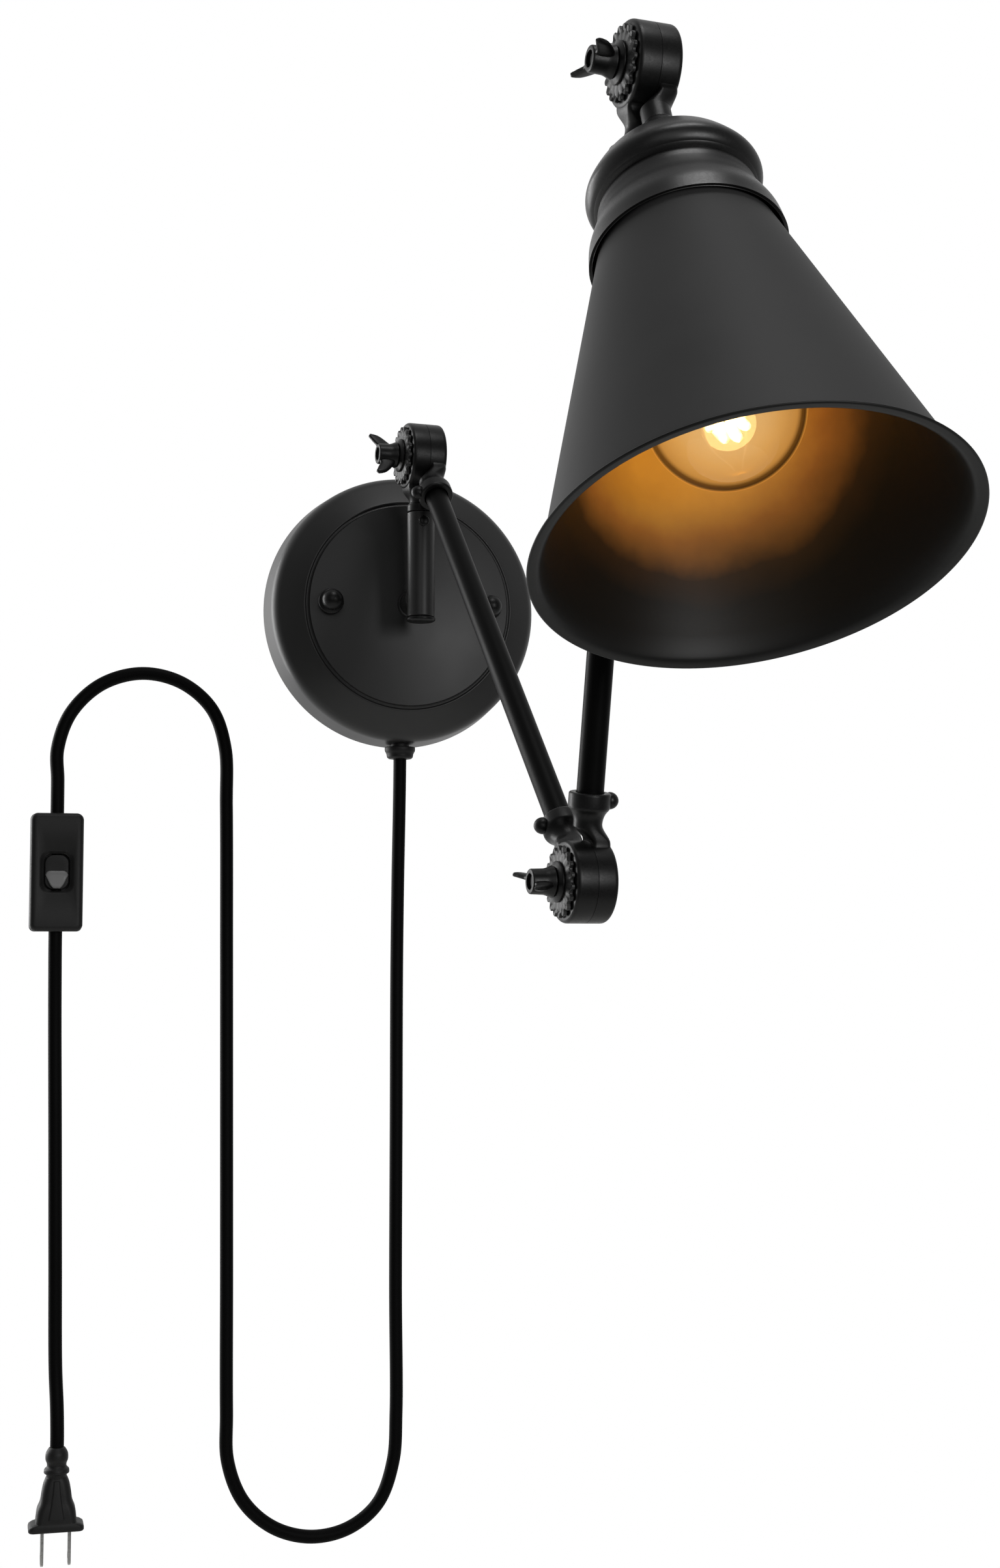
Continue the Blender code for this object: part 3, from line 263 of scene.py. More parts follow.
def turned(
    name, place, line, turns, material, body, replaces, angle=38, ring=False, second=None
):
    """A piece that is one line turned about the axis of a place."""
    grids = [(apply(place, revolve(line, turns)), ring)]
    return piece(name, grids, material, body, replaces, angle, second)


# %% [markdown]
# ## Colours and nodes
# Colours are written as the hex values a paint chart gives, and one function turns them into the
# linear numbers that the renderer works with. Small functions add a noise, send it through
# colour stops, or turn it into a change of roughness or a bump, so each material reads as a short
# list of what lies on the surface. Bump is only for grain finer than a millimetre or so.

# %% Colours and nodes


def paint(hexa):
    """sRGB hex to linear: c/12.92 below 0.04045, else ((c+0.055)/1.055)^2.4."""
    c = np.array([int(hexa[i : i + 2], 16) for i in (1, 3, 5)]) / 255
    linear = np.where(c <= 0.04045, c / 12.92, ((c + 0.055) / 1.055) ** 2.4)
    return (*linear.tolist(), 1.0)


def add(tree, kind, inputs=None, **settings):
    """Adds a node. inputs maps a socket's name or number to a value or to another socket."""
    made = tree.nodes.new(kind)
    for key, value in settings.items():
        setattr(made, key, value)
    for key, value in (inputs or {}).items():
        if isinstance(value, bpy.types.NodeSocket):
            tree.links.new(value, made.inputs[key])
        else:
            made.inputs[key].default_value = value
    return made


def start_material(name, **sockets):
    """A new material with one Principled shader. Returns the material, its tree, the shader."""
    material = bpy.data.materials.new(name)
    material.use_nodes = True
    tree = material.node_tree
    shader = tree.nodes["Principled BSDF"]
    for key, value in sockets.items():
        shader.inputs[key.replace("_", " ")].default_value = value
    return material, tree, shader


def noise(tree, vector, scale, detail):
    """The value of a noise with waves of about 1 / scale."""
    made = add(tree, "ShaderNodeTexNoise", {"Vector": vector, "Scale": scale, "Detail": detail})
    return made.outputs["Fac"]


def colour_by(tree, value, target, *stops):
    """Sends a value through colour stops of (place, hex) into a shader's input."""
    made = add(tree, "ShaderNodeValToRGB", {"Fac": value})
    elements = made.color_ramp.elements
    while len(elements) < len(stops):
        elements.new(0.5)
    for element, (place, colour) in zip(elements, stops):
        element.position = place
        element.color = paint(colour)
    tree.links.new(made.outputs["Color"], target)


def roughen(tree, shader, value, roughness, spread):
    """Roughness from a noise: less the spread where it is 0.3, plus the spread where it is 0.7."""
    low, high = roughness - spread, roughness + spread
    made = add(tree, "ShaderNodeMapRange", {0: value, 1: 0.3, 2: 0.7, 3: low, 4: high})
    tree.links.new(made.outputs[0], shader.inputs["Roughness"])


def emboss(tree, shader, value, strength, distance=0.0001):
    """Bump from a noise, as high as the distance in metres at full strength."""
    made = add(
        tree, "ShaderNodeBump", {"Height": value, "Strength": strength, "Distance": distance}
    )
    tree.links.new(made.outputs["Normal"], shader.inputs["Normal"])


# %% [markdown]
# ## Satin powder coat
# The plate, post, arms and shade are steel with a black powder coat, satin on the first three and
# more matt on the shade. The powder melts into a skin with a faint orange peel, waves about a
# millimetre wide, which soften the edges of every reflection. A slow change of tone comes from the
# film being thicker in some places. The arms' copy of the coat has a darker base and almost no
# gloss, which paints shade on them. The shade's copy has a lighter base, which paints light on it
# as colour.

# %% Satin powder coat


def powder_coat(name, base, roughness, peel, gloss):
    """Tone and roughness follow the film's thickness, and a bump of fine waves is the peel."""
    material, tree, shader = start_material(name, Specular_IOR_Level=gloss, IOR=1.5)
    place = add(tree, "ShaderNodeTexCoord").outputs["Object"]
    film = noise(tree, place, 28.0, 2.0)
    colour_by(tree, film, shader.inputs["Base Color"], (0.3, base[0]), (0.7, base[1]))
    roughen(tree, shader, film, roughness, 0.03)
    emboss(tree, shader, noise(tree, place, 1 / 0.0011, 1.5), peel)
    return material


satin_black = powder_coat("satin_black_powder_coat", ("#181818", "#1d1d1d"), 0.42, 0.1, 0.38)
# The shade's copy: a lighter base with little gloss, which paints the studio's light on it as
# colour.
shade_black_painted_light = powder_coat("matt_black_coat_painted_lighter", ("#2e2e2e", "#333333"), 0.56, 0.1, 0.1)
# The arms' copy: a darker base and almost no gloss, which paints shade on the arms.
arm_black_painted_shade = powder_coat("black_coat_on_drawn_tube_painted_darker", ("#050505", "#080808"), 0.42, 0.08, 0.05)

# %% [markdown]
# ## Painted castings
# The knuckles and nuts are zinc castings, painted thinly enough for the casting's own skin to
# show as a fine irregular grain. The shade's spun cap and collar have the same paint. The toothed
# washers are steel with a worn black oxide.

# %% Painted castings


def painted_casting(name, base, roughness, gloss):
    """Tone follows wide patches, and roughness and bump follow the fine grain."""
    material, tree, shader = start_material(name, Specular_IOR_Level=gloss, IOR=1.5)
    place = add(tree, "ShaderNodeTexCoord").outputs["Object"]
    grain = noise(tree, place, 1 / 0.0007, 3.0)
    patch = noise(tree, place, 90.0, 2.0)
    colour_by(tree, patch, shader.inputs["Base Color"], (0.3, base[0]), (0.7, base[1]))
    roughen(tree, shader, grain, roughness, 0.05)
    emboss(tree, shader, grain, 0.09)
    return material


cast_black = painted_casting("black_painted_zinc_casting", ("#060606", "#0a0a0a"), 0.38, 0.22)
cap_black = painted_casting("black_painted_spun_cap", ("#0a0a0a", "#101010"), 0.36, 0.34)
washer_black = painted_casting("worn_black_oxide_washer", ("#181818", "#262626"), 0.44, 0.35)

# %% [markdown]
# ## Plastics
# The cord's sheath is soft PVC, drawn through a die, so it has faint lines along it. The switch
# and the plug are moulded: the mould is spark eroded, which leaves an even matte grain. The
# rocker comes from a polished mould and is a lighter grey.

# %% Plastics


def moulded(name, base, roughness, grain_size, strength):
    """One grain of the mould's surface drives both roughness and bump."""
    material, tree, shader = start_material(
        name, Base_Color=paint(base), Specular_IOR_Level=0.3, IOR=1.46
    )
    place = add(tree, "ShaderNodeTexCoord").outputs["Object"]
    grain = noise(tree, place, 1 / grain_size, 2.0)
    roughen(tree, shader, grain, roughness, 0.04)
    emboss(tree, shader, grain, strength)
    return material


moulded_black = moulded("spark_eroded_black_plastic", "#0e0e0e", 0.52, 0.0005, 0.18)
holder_black = moulded("phenolic_lamp_holder", "#0c0b0a", 0.4, 0.0006, 0.15)
rocker_grey = moulded("polished_grey_rocker", "#6b6b6b", 0.34, 0.0008, 0.05)

sheath_black, tree, shader = start_material(
    "drawn_pvc_sheath", Base_Color=paint("#030303"), Roughness=0.55, Specular_IOR_Level=0.06,
    IOR=1.5,
)
own = add(tree, "ShaderNodeUVMap", uv_map="along")
lines = add(tree, "ShaderNodeMapping", {"Vector": own.outputs["UV"], "Scale": (50.0, 9.0, 1.0)})
emboss(tree, shader, noise(tree, lines.outputs[0], 1.0, 2.0), 0.2)

# %% [markdown]
# ## Bare metal and glass
# The bracket, studs and plug blades are rolled steel with a zinc or nickel skin and fine rolling
# lines. The screw shell is pressed brass. The bulb is thin clear glass with the filament's glow
# painted into it as emission: in its middle it is warm and half clear, and towards its rim it
# gathers into a painted dark amber ring.

# %% Bare metal and glass


def rolled_metal(name, base, roughness, line_size):
    """Bare metal with a noise stretched along X, as rolling leaves it."""
    material, tree, shader = start_material(name, Base_Color=paint(base), Metallic=1.0)
    place = add(tree, "ShaderNodeTexCoord").outputs["Object"]
    stretch = (0.06 / line_size, 1 / line_size, 1 / line_size)
    stretched = add(tree, "ShaderNodeMapping", {"Vector": place, "Scale": stretch})
    rolling = noise(tree, stretched.outputs[0], 1.0, 3.0)
    roughen(tree, shader, rolling, roughness, 0.08)
    emboss(tree, shader, rolling, 0.12, 0.00005)
    return material


zinc = rolled_metal("zinc_plated_steel", "#b9bbb8", 0.36, 0.0006)
nickel = rolled_metal("nickel_plated_brass_blades", "#a4a4a2", 0.32, 0.0005)
brass = rolled_metal("pressed_brass", "#c79a4b", 0.3, 0.0006)

bulb_glass_painted_glow, tree, shader = start_material(
    "clear_bulb_glass_painted_glow", Base_Color=paint("#140c05"), Roughness=0.03, IOR=1.5,
    Emission_Strength=1.0
)
rim = add(tree, "ShaderNodeLayerWeight", {"Blend": 0.35})
# Painted glow: the emission is warm where the glass faces on, with a painted dark amber ring
# towards the rim.
colour_by(
    tree, rim.outputs["Facing"], shader.inputs["Emission Color"],
    (0.0, "#f0c684"), (0.2, "#dca85e"), (0.4, "#bd8640"), (0.5, "#5c3a12"),
    (0.62, "#3c2409"), (0.75, "#9a6828"),
)
film = add(
    tree, "ShaderNodeMapRange", {0: rim.outputs["Facing"], 1: 0.3, 2: 0.6, 3: 0.42, 4: 0.9}
)
tree.links.new(film.outputs[0], shader.inputs["Alpha"])

hot_wire, tree, shader = start_material(
    "white_hot_tungsten", Base_Color=paint("#fff0c0"), Emission_Strength=2.6
)
edge_on = add(tree, "ShaderNodeLayerWeight", {"Blend": 0.5})
colour_by(
    tree, edge_on.outputs["Facing"], shader.inputs["Emission Color"],
    (0.35, "#fff2d0"), (0.95, "#ffb24e"),
)

# %% [markdown]
# ## Inside of the shade
# The inside is coated in a flat black, and the bulb's light on it is painted into its colour as a
# warm glow. The bulb hangs a little towards the wall's side of the shade. The colour follows the
# distance from there, so the painted glow stays close to the bulb and the lip stays black.

# %% Inside of the shade
PAINTED_GLOW_CENTRE = HEAD[:3, 3] + HEAD[:3, :3] @ (0.004, -0.019, 0.15)
shade_inside_painted_glow, tree, shader = start_material(
    "black_inside_painted_bulb_glow", Roughness=0.46, Specular_IOR_Level=0.2
)
place = add(tree, "ShaderNodeTexCoord").outputs["Object"]
away = add(
    tree, "ShaderNodeVectorMath", {0: place, 1: tuple(PAINTED_GLOW_CENTRE.tolist())}, operation="DISTANCE"
)
film = noise(tree, place, 45.0, 3.0)
uneven = add(
    tree, "ShaderNodeMath", {0: film, 1: 0.01, 2: away.outputs["Value"]},
    operation="MULTIPLY_ADD",
)
reach = add(tree, "ShaderNodeMapRange", {0: uneven.outputs[0], 1: 0.037, 2: 0.074, 3: 0.0, 4: 1.0})
# Painted light: warm amber near the bulb, fading to black towards the lip.
colour_by(
    tree, reach.outputs[0], shader.inputs["Base Color"],
    (0.0, "#b08c40"), (0.3, "#7c5628"), (0.6, "#24180c"), (0.85, "#090908"),
)
emboss(tree, shader, noise(tree, place, 1 / 0.0012, 1.0), 0.12)

# %% [markdown]
# ## Cord
# The cord leaves the plate's lower edge, hangs straight, turns up in a wide loop, goes over an
# arch and hangs down again through the switch to the plug. Such a lead is 6.5 mm thick and fairly
# stiff, so its bends are wide. The route's points are joined by one smooth curve, and a circle
# is carried along it. Its map runs along the cord, for the lines of the sheath.

# %% Cord
CORD_R = 0.00325
SWITCH_X, SWITCH_MIDDLE = -0.169, -0.1335
PLUG_X, PLUG_Y, PLUG_TOP = -0.1643, -0.0075, -0.4065
route = [
    (0.0, -0.01, -0.056), (0.0, -0.01, -0.078), (0.0, -0.0088, -0.1),
    (0.0, -0.006, -0.135), (0.0, -0.004, -0.18), (0.0, -0.004, -0.26),
    (0.0, -0.004, -0.34), (0.0005, -0.004, -0.4), (-0.001, -0.004, -0.424),
    (-0.0085, -0.004, -0.4435), (-0.023, -0.004, -0.4545), (-0.0415, -0.004, -0.4575),
    (-0.06, -0.004, -0.452), (-0.075, -0.004, -0.4385), (-0.0828, -0.004, -0.419),
    (-0.0836, -0.004, -0.395), (-0.0842, -0.004, -0.33), (-0.085, -0.004, -0.25),
    (-0.0858, -0.004, -0.17), (-0.0866, -0.004, -0.1), (-0.0876, -0.004, -0.07),
    (-0.0945, -0.004, -0.051), (-0.1095, -0.004, -0.0385), (-0.129, -0.004, -0.0345),
    (-0.1485, -0.004, -0.0405), (-0.163, -0.004, -0.055), (-0.1692, -0.0045, -0.073),
    (SWITCH_X, -0.0073, -0.088), (SWITCH_X, -0.009, -0.099), (SWITCH_X, -0.009, -0.1685),
    (-0.1688, -0.0068, -0.181), (-0.1684, -0.004, -0.205), (-0.1674, -0.004, -0.26),
    (-0.1664, -0.004, -0.32), (-0.1655, -0.004, -0.37), (-0.1646, -0.0062, -0.388),
    (PLUG_X, PLUG_Y, -0.401), (PLUG_X, PLUG_Y, PLUG_TOP + 0.0003),
]
cord_path = smooth_path(route, 12)
cord_steps = np.linalg.norm(np.diff(cord_path, axis=0), axis=1)
travelled = np.concatenate([[0.0], np.cumsum(cord_steps)])
cord = piece(
    "cord", [(sweep(cord_path, CORD_R, 24), False)], sheath_black, "wall_mount",
    ("cord_to_switch", "cord_to_plug"), 60, along=[0.0, *travelled, travelled[-1]],
)

# %% [markdown]
# ## Wall plate
# The plate is pressed from sheet steel: a shallow dome, a small step round it, a sloping
# shoulder and a straight rim against the wall. It is one turned line, outside and inside, and
# each press radius is a rounded corner of that line.

# %% Wall plate
PLATE_R, STEP_R, DOME, STEP, SHEET = 0.0685, 0.0505, 0.036, 0.0315, 0.0012


def dome_depth(r):
    """Depth of the dome: its middle less the rise times (r / step radius) squared."""
    return DOME - (DOME - STEP - 0.001) * (np.asarray(r) / STEP_R) ** 2


dome_r = np.linspace(0, STEP_R - 0.0006, 14)
press = rounded(
    [
        (dome_r[-1], dome_depth(dome_r[-1])), (STEP_R - 0.0002, STEP - 0.0006),
        (STEP_R + 0.0008, STEP - 0.001), (STEP_R + 0.0018, STEP - 0.0002),
        (0.0649, 0.0222), (0.0669, 0.0186), (PLATE_R, 0.0003),
    ],
    [0.0005, 0.0004, 0.0008, 0.0022, 0.0022],
    7,
)
outside = np.vstack([np.stack([dome_r, dome_depth(dome_r)], -1)[:-1], press])
inside = outside[::-1] - (SHEET, SHEET)
inside[:, 0] = np.maximum(inside[:, 0], 0)
inside[0] = (PLATE_R - SHEET, 0.0003)
plate_line = np.vstack([outside, inside])
turned(
    "wall_plate_shell", AWAY, plate_line, 160, satin_black, "wall_mount", "wall_plate",
)
print("plate", round(2 * PLATE_R * 1000), "mm across")

# %% [markdown]
# ## Cap nuts
# Two domed nuts hold the plate to the bracket behind it. They are turned from rod: a short
# collar and a ball.

# %% Cap nuts
NUT_X, NUT_R, BALL_R, BALL_MIDDLE = 0.04, 0.0063, 0.0052, 0.0066
NUT_BASE = float(dome_depth(NUT_X - NUT_R)) + 0.0003
ball = np.radians(np.linspace(-34, 90, 16))
ball_line = np.stack(
    [BALL_R * np.cos(ball), NUT_BASE + BALL_MIDDLE + BALL_R * np.sin(ball)], -1
)
collar_line = rounded(
    [(0, NUT_BASE), (NUT_R, NUT_BASE), (NUT_R, NUT_BASE + 0.0027), ball_line[0]], 0.0006, 5
)
nut_line = np.vstack([collar_line, ball_line[1:]])
for side, word in ((-1, "left"), (1, "right")):
    turned(
        f"turned_cap_nut_{word}", move(side * NUT_X, 0, 0) @ AWAY, nut_line, 48, cast_black,
        f"{word}_cap_nut", f"cap_nut_{word}",
    )

# %% [markdown]
# ## Post
# The post is a short tube with a boss brazed to its side. The boss flares a little where it
# meets the tube and where it lands on the plate. A thin cap closes the tube's lower end.

# %% Post
POST_R, POST_LOW, POST_HIGH, SET_SCREW_HEIGHT = 0.0067, -0.01, 0.041, 0.036
tube_line = rounded(
    [
        (0.005, POST_LOW), (POST_R, POST_LOW), (POST_R, POST_HIGH), (0.005, POST_HIGH),
        (0.005, POST_LOW),
    ],
    0.0006,
    5,
)
boss_line = rounded(
    [
        (0, 0.0345), (0.0068, DOME + 0.0002), (0.0066, DOME + 0.0012), (0.0058, DOME + 0.0022),
        (0.0058, POST_Y - 0.008), (0.0066, POST_Y - 0.005), (0, POST_Y - 0.0045),
    ],
    [0.0003, 0.0006, 0.0012, 0.003, 0.0005],
    6,
)
piece(
    "brazed_post",
    [
        (apply(POST_AXIS, revolve(tube_line, 72)), False),
        (apply(AWAY, revolve(boss_line, 64)), False),
    ],
    satin_black, "wall_mount", "post",
)
cap_line = rounded(
    [
        (0, POST_LOW - 0.0003), (POST_R + 0.0004, POST_LOW - 0.0003),
        (POST_R + 0.0004, POST_LOW - 0.0017), (POST_R - 0.0008, POST_LOW - 0.0024),
        (0, POST_LOW - 0.0026),
    ],
    0.0005,
)
turned(
    "pressed_end_cap", POST_AXIS, cap_line, 64, cast_black, "wall_mount", "post_end_cap",
)


def screw_dome(start, radius, rise):
    """Profile of a round screw head: a quarter ellipse of that radius and rise on a flat."""
    a = np.linspace(0, np.pi / 2, 9)
    head = np.stack([radius * np.cos(a), start + 0.0006 + (rise - 0.0006) * np.sin(a)], -1)
    under = [(0, start - 0.001), (radius - 0.0006, start - 0.001), (radius - 0.0002, start)]
    return np.vstack([under, head])


turned(
    "domed_set_screw", move(0, 0, SET_SCREW_HEIGHT) @ AWAY,
    screw_dome(POST_Y + POST_R + 0.0002, 0.0026, 0.0016), 32, cast_black, "wall_mount",
    "post_set_screw",
)

# %% [markdown]
# ## Knuckle halves
# Each knuckle is two zinc discs that face each other and are clamped by one bolt. A disc is 32 mm
# across and half of the knuckle's width, with a soft outer edge. A neck joins it to a socket or
# a spigot. The web between them starts as a block on one side of the middle plane and ends as
# the round neck on it, so it is lofted from the one section to the other.

# %% Knuckle halves
HALF_W, KNUCKLE_R, NECK_R, NECK_START = 0.0085, 0.016, 0.0056, 0.0185
BOLT_HOLE_R, GAP, DISC_EDGE = 0.0034, 0.00006, 0.0019
LEFT, RIGHT = turn("Y", -90), turn("Y", 90)


def blend_sections(first, last, shares):
    """Sections between two loops: first + (last - first) s(3 - 2s), a smooth step of each share."""
    s = np.asarray(shares)[:, None, None]
    return first + (last - first) * s**2 * (3 - 2 * s)


def knuckle_half(name, place, side, flip, neck_line, body, node):
    """A disc on one side of the middle plane, a web and a neck, which flip turns downwards."""
    disc_line = rounded(
        [
            (BOLT_HOLE_R, GAP), (KNUCKLE_R, GAP), (KNUCKLE_R, HALF_W), (BOLT_HOLE_R, HALF_W),
            (BOLT_HOLE_R, GAP),
        ],
        [0.00008, DISC_EDGE, 0.0003],
        9,
    )
    outward = place @ (LEFT if side < 0 else RIGHT)
    neck_place = place @ (turn("X", 180) if flip else np.eye(4))
    foot = rounded_rectangle(0.0037, 0.012, 0.0016) + (side * 0.0042, 0)
    block = rounded_rectangle(0.0037, 0.0064, 0.0016) + (side * 0.0042, 0)
    rod = circle(NECK_R)
    shares = np.linspace(0, 1, 8)
    loops = np.concatenate(
        [blend_sections(foot, block, shares[:-1]), blend_sections(block, rod, shares)]
    )
    heights = [*np.linspace(0.008, 0.0155, 8)[:-1], *np.linspace(0.0158, NECK_START + 0.0042, 8)]
    grids = [
        (apply(outward, revolve(disc_line, 96)), False),
        (apply(neck_place, stack_sections(loops, heights)), False),
        (apply(neck_place, revolve(neck_line, 64)), False),
    ]
    return piece(name, grids, cast_black, body, node)


SOCKET = rounded(
    [
        (0, NECK_START + 0.003), (NECK_R, NECK_START + 0.003), (NECK_R, 0.0242),
        (NECK_R + 0.0008, 0.0268), (0.0082, 0.029), (0.0082, 0.035), (0.0056, 0.035),
        (0.0056, 0.029), (0, 0.0285),
    ],
    [0.0003, 0.0014, 0.0012, 0.001, 0.0011, 0.0003, 0.0003],
    7,
)
SPIGOT = rounded(
    [
        (0, NECK_START + 0.003), (NECK_R, NECK_START + 0.003), (NECK_R, 0.0231), (POST_R, 0.0242),
        (POST_R, 0.0274), (0.0049, 0.0274), (0.0049, 0.0413), (0, 0.0414),
    ],
    [0.0003, 0.001, 0.0008, 0.0004, 0.0002, 0.0006],
    6,
)
HEAD_NECK = rounded(
    [
        (0, NECK_START + 0.003), (NECK_R, NECK_START + 0.003), (NECK_R, 0.029),
        (NECK_R + 0.0004, 0.0297), (0, 0.0297),
    ],
    [0.0003, 0.0006, 0.0002],
)
knuckle_half("shoulder_casting_left", STEM, -1, True, SPIGOT, "swing_post", "shoulder_left_half")
knuckle_half("shoulder_casting_right", LOWER, 1, False, SOCKET, "lower_arm", "shoulder_right_half")
knuckle_half("elbow_casting_left", LOWER_END, -1, True, SOCKET, "lower_arm", "elbow_left_half")
knuckle_half("elbow_casting_right", UPPER, 1, False, SOCKET, "upper_arm", "elbow_right_half")
knuckle_half("head_casting_left", UPPER_END, -1, True, SOCKET, "upper_arm", "head_left_half")
knuckle_half("head_casting_right", HEAD, 1, False, HEAD_NECK, "lamp_head", "head_right_half")

# %% [markdown]
# ## Washers, bolts and wing nuts
# On the left of each knuckle sit a toothed washer, a cone washer and a wing nut, and the bolt's
# low round head is on the right. The washer's teeth are cut into its rim and fold a little
# outwards, so each tooth catches the light by itself. A wing is a blade that gets thinner
# towards its tip and leans outwards, lofted along its length.

# %% Toothed and cone washers
TOOTH_START = HALF_W + 0.0003
CONE_START = TOOTH_START + 0.0019
WING_START = CONE_START + 0.0023


def toothed_washer(teeth=18, steps=12):
    """A ring whose rim radius follows a flattened wave, R - d (1/2 - clip(1.6 cos(n a), -1, 1)/2),
    and whose rim leans out by the same wave, as folded teeth do."""
    a = np.arange(teeth * steps) * 2 * np.pi / (teeth * steps)
    wave = np.clip(1.6 * np.cos(teeth * a), -1, 1) / 2 + 0.5
    outer = 0.014 - 0.0017 * (1 - wave)
    base, thick = TOOTH_START, 0.0016
    bend = 0.0006 * wave
    rows = [
        (0.0034 + 0 * a, base + 0 * a), (outer * 0.7, base + 0 * a), (outer - 0.0003, base + 0 * a),
        (outer, base + 0.0003 + 0 * a), (outer, base + thick - 0.0003 + 0 * a),
        (outer - 0.0003, base + thick + 0 * a), (0.0115 + 0 * a, base + thick - bend),
        (0.01 + 0 * a, base + thick + 0 * a), (0.0034 + 0 * a, base + thick + 0 * a),
    ]
    r, h = np.stack([row[0] for row in rows]), np.stack([row[1] for row in rows])
    return np.stack([r * np.cos(a), r * np.sin(a), h], -1)


CONE_LINE = rounded(
    [
        (0.0034, CONE_START), (0.008, CONE_START), (0.008, CONE_START + 0.0007),
        (0.0058, CONE_START + 0.002), (0.0034, CONE_START + 0.002), (0.0034, CONE_START),
    ],
    [0.0003, 0.0004, 0.0006, 0.0003],
    6,
)

# %% Bolts and wing nuts


def bolt_line():
    """Low round head on the right side at +h, shank and chamfered end on the left at -h."""
    a = np.linspace(0, np.pi / 2, 8)
    head = np.stack([0.0062 * np.cos(a), HALF_W + 0.0007 + 0.0018 * np.sin(a)], -1)[::-1]
    end = -(WING_START + 0.008)
    rest = rounded(
        [
            (0.0062, HALF_W + 0.0007), (0.006, HALF_W + 0.0003), (0.0029, HALF_W + 0.0003),
            (0.0029, end), (0, end),
        ],
        [0.0002, 0.0002, 0.0006],
    )
    return np.vstack([head[:-1], rest])


HUB_LINE = rounded(
    [
        (0.0031, WING_START), (0.0064, WING_START), (0.0051, WING_START + 0.003),
        (0.0049, WING_START + 0.0092), (0.0031, WING_START + 0.0092), (0.0031, WING_START),
    ],
    [0.0005, 0.0012, 0.0008, 0.0003],
    6,
)


def wing(side, count=36, rows=16):
    """A blade along the radius r: at the share t its section is a superellipse centred at the
    height h(t), with a half height and a half thickness that both fall towards the round tip."""
    t = np.linspace(0, 1, rows)
    r = 0.0036 + (0.0137 - 0.0036) * t
    middle = WING_START + np.interp(t, [0, 0.3, 0.75, 1], [0.0048, 0.0052, 0.0082, 0.0104])
    high = np.interp(t, [0, 0.25, 0.6, 0.85, 1], [0.004, 0.0036, 0.0032, 0.0026, 0.0005])
    thick = np.interp(t, [0, 0.5, 0.9, 1], [0.0014, 0.0011, 0.001, 0.0004])
    a = (np.arange(count) + 0.5) * 2 * np.pi / count
    c, s = np.cos(a), np.sin(a)
    x = side * np.broadcast_to(r[:, None], (rows, count))
    y = thick[:, None] * np.sign(s) * np.abs(s) ** 0.6
    z = middle[:, None] + high[:, None] * np.sign(c) * np.abs(c) ** 0.8
    body = np.stack([x, y, z], -1)
    ends = body[[0, -1]].mean(axis=1, keepdims=True).repeat(count, axis=1)
    return np.concatenate([ends[:1], body, ends[1:]])


def clamp(prefix, left_body, right_body, wing_body, place, wing_degrees):
    """The stack on one knuckle. place is the knuckle without its arm's tilt."""
    left = place @ LEFT
    piece(
        f"{prefix}_cut_washer", [(apply(left, toothed_washer()), True)], washer_black, left_body,
        f"{prefix}_toothed_washer", 25,
    )
    turned(
        f"{prefix}_turned_cone", left, CONE_LINE, 64, cast_black, left_body,
        f"{prefix}_cone_washer",
    )
    turned(
        f"{prefix}_clamp_bolt", place @ RIGHT, bolt_line(), 48, cast_black, right_body,
        f"{prefix}_bolt",
    )
    blade = place @ turn("X", wing_degrees) @ LEFT
    grids = [(apply(left, revolve(HUB_LINE, 56)), False)]
    grids += [(apply(blade, wing(side)), False) for side in (-1, 1)]
    piece(
        f"{prefix}_cast_wing_nut", grids, cast_black, wing_body, f"{prefix}_wing_nut",
        45,
    )


for prefix, left_body, right_body, at, degrees in (
    ("shoulder", "swing_post", "lower_arm", STEM, -35),
    ("elbow", "lower_arm", "upper_arm", UPPER, 104),
    ("head", "upper_arm", "lamp_head", HEAD, 84),
):
    upright = SWING.copy()
    upright[:3, 3] = at[:3, 3]
    clamp(prefix, left_body, right_body, f"{prefix}_wing", upright, degrees)

# %% [markdown]
# ## Arm tubes and their screws
# The arms are drawn tube, 10.6 mm across, pushed into the sockets and held by a small round
# headed screw in each socket ring.

# %% Arm tubes
TUBE_R, TUBE_BORE, TUBE_START, SCREW_PLACE = 0.0053, 0.0043, 0.0283, 0.03185
SOCKET_SCREW = screw_dome(0.0076, 0.0034, 0.0042)
for word, place, length, near_side, far_side in (
    ("lower", LOWER, LOWER_LENGTH, LEFT, LEFT),
    ("upper", UPPER, UPPER_LENGTH, RIGHT, LEFT),
):
    wall = rounded(
        [
            (TUBE_BORE, TUBE_START), (TUBE_R, TUBE_START), (TUBE_R, length - TUBE_START),
            (TUBE_BORE, length - TUBE_START), (TUBE_BORE, TUBE_START),
        ],
        0.0004,
    )
    turned(
        f"{word}_drawn_tube", place, wall, 96, arm_black_painted_shade, f"{word}_arm", f"{word}_arm_tube",
    )
    for end, height, side in (
        ("near", SCREW_PLACE, near_side), ("far", length - SCREW_PLACE, far_side)
    ):
        turned(
            f"{word}_{end}_round_screw", place @ move(0, 0, height) @ side, SOCKET_SCREW, 36,
            cast_black, f"{word}_arm", f"{word}_arm_{end}_socket_screw",
        )

# %% [markdown]
# ## Shade
# The shade is a spun steel cone with a small lip at its mouth, turned outwards. Its top sits inside
# a collar. Above the collar is a bell shaped cap that narrows to the neck. All three are turned
# about the head's axis. The cone's inside has its own black material with the bulb's glow painted
# in, so those rows carry it.

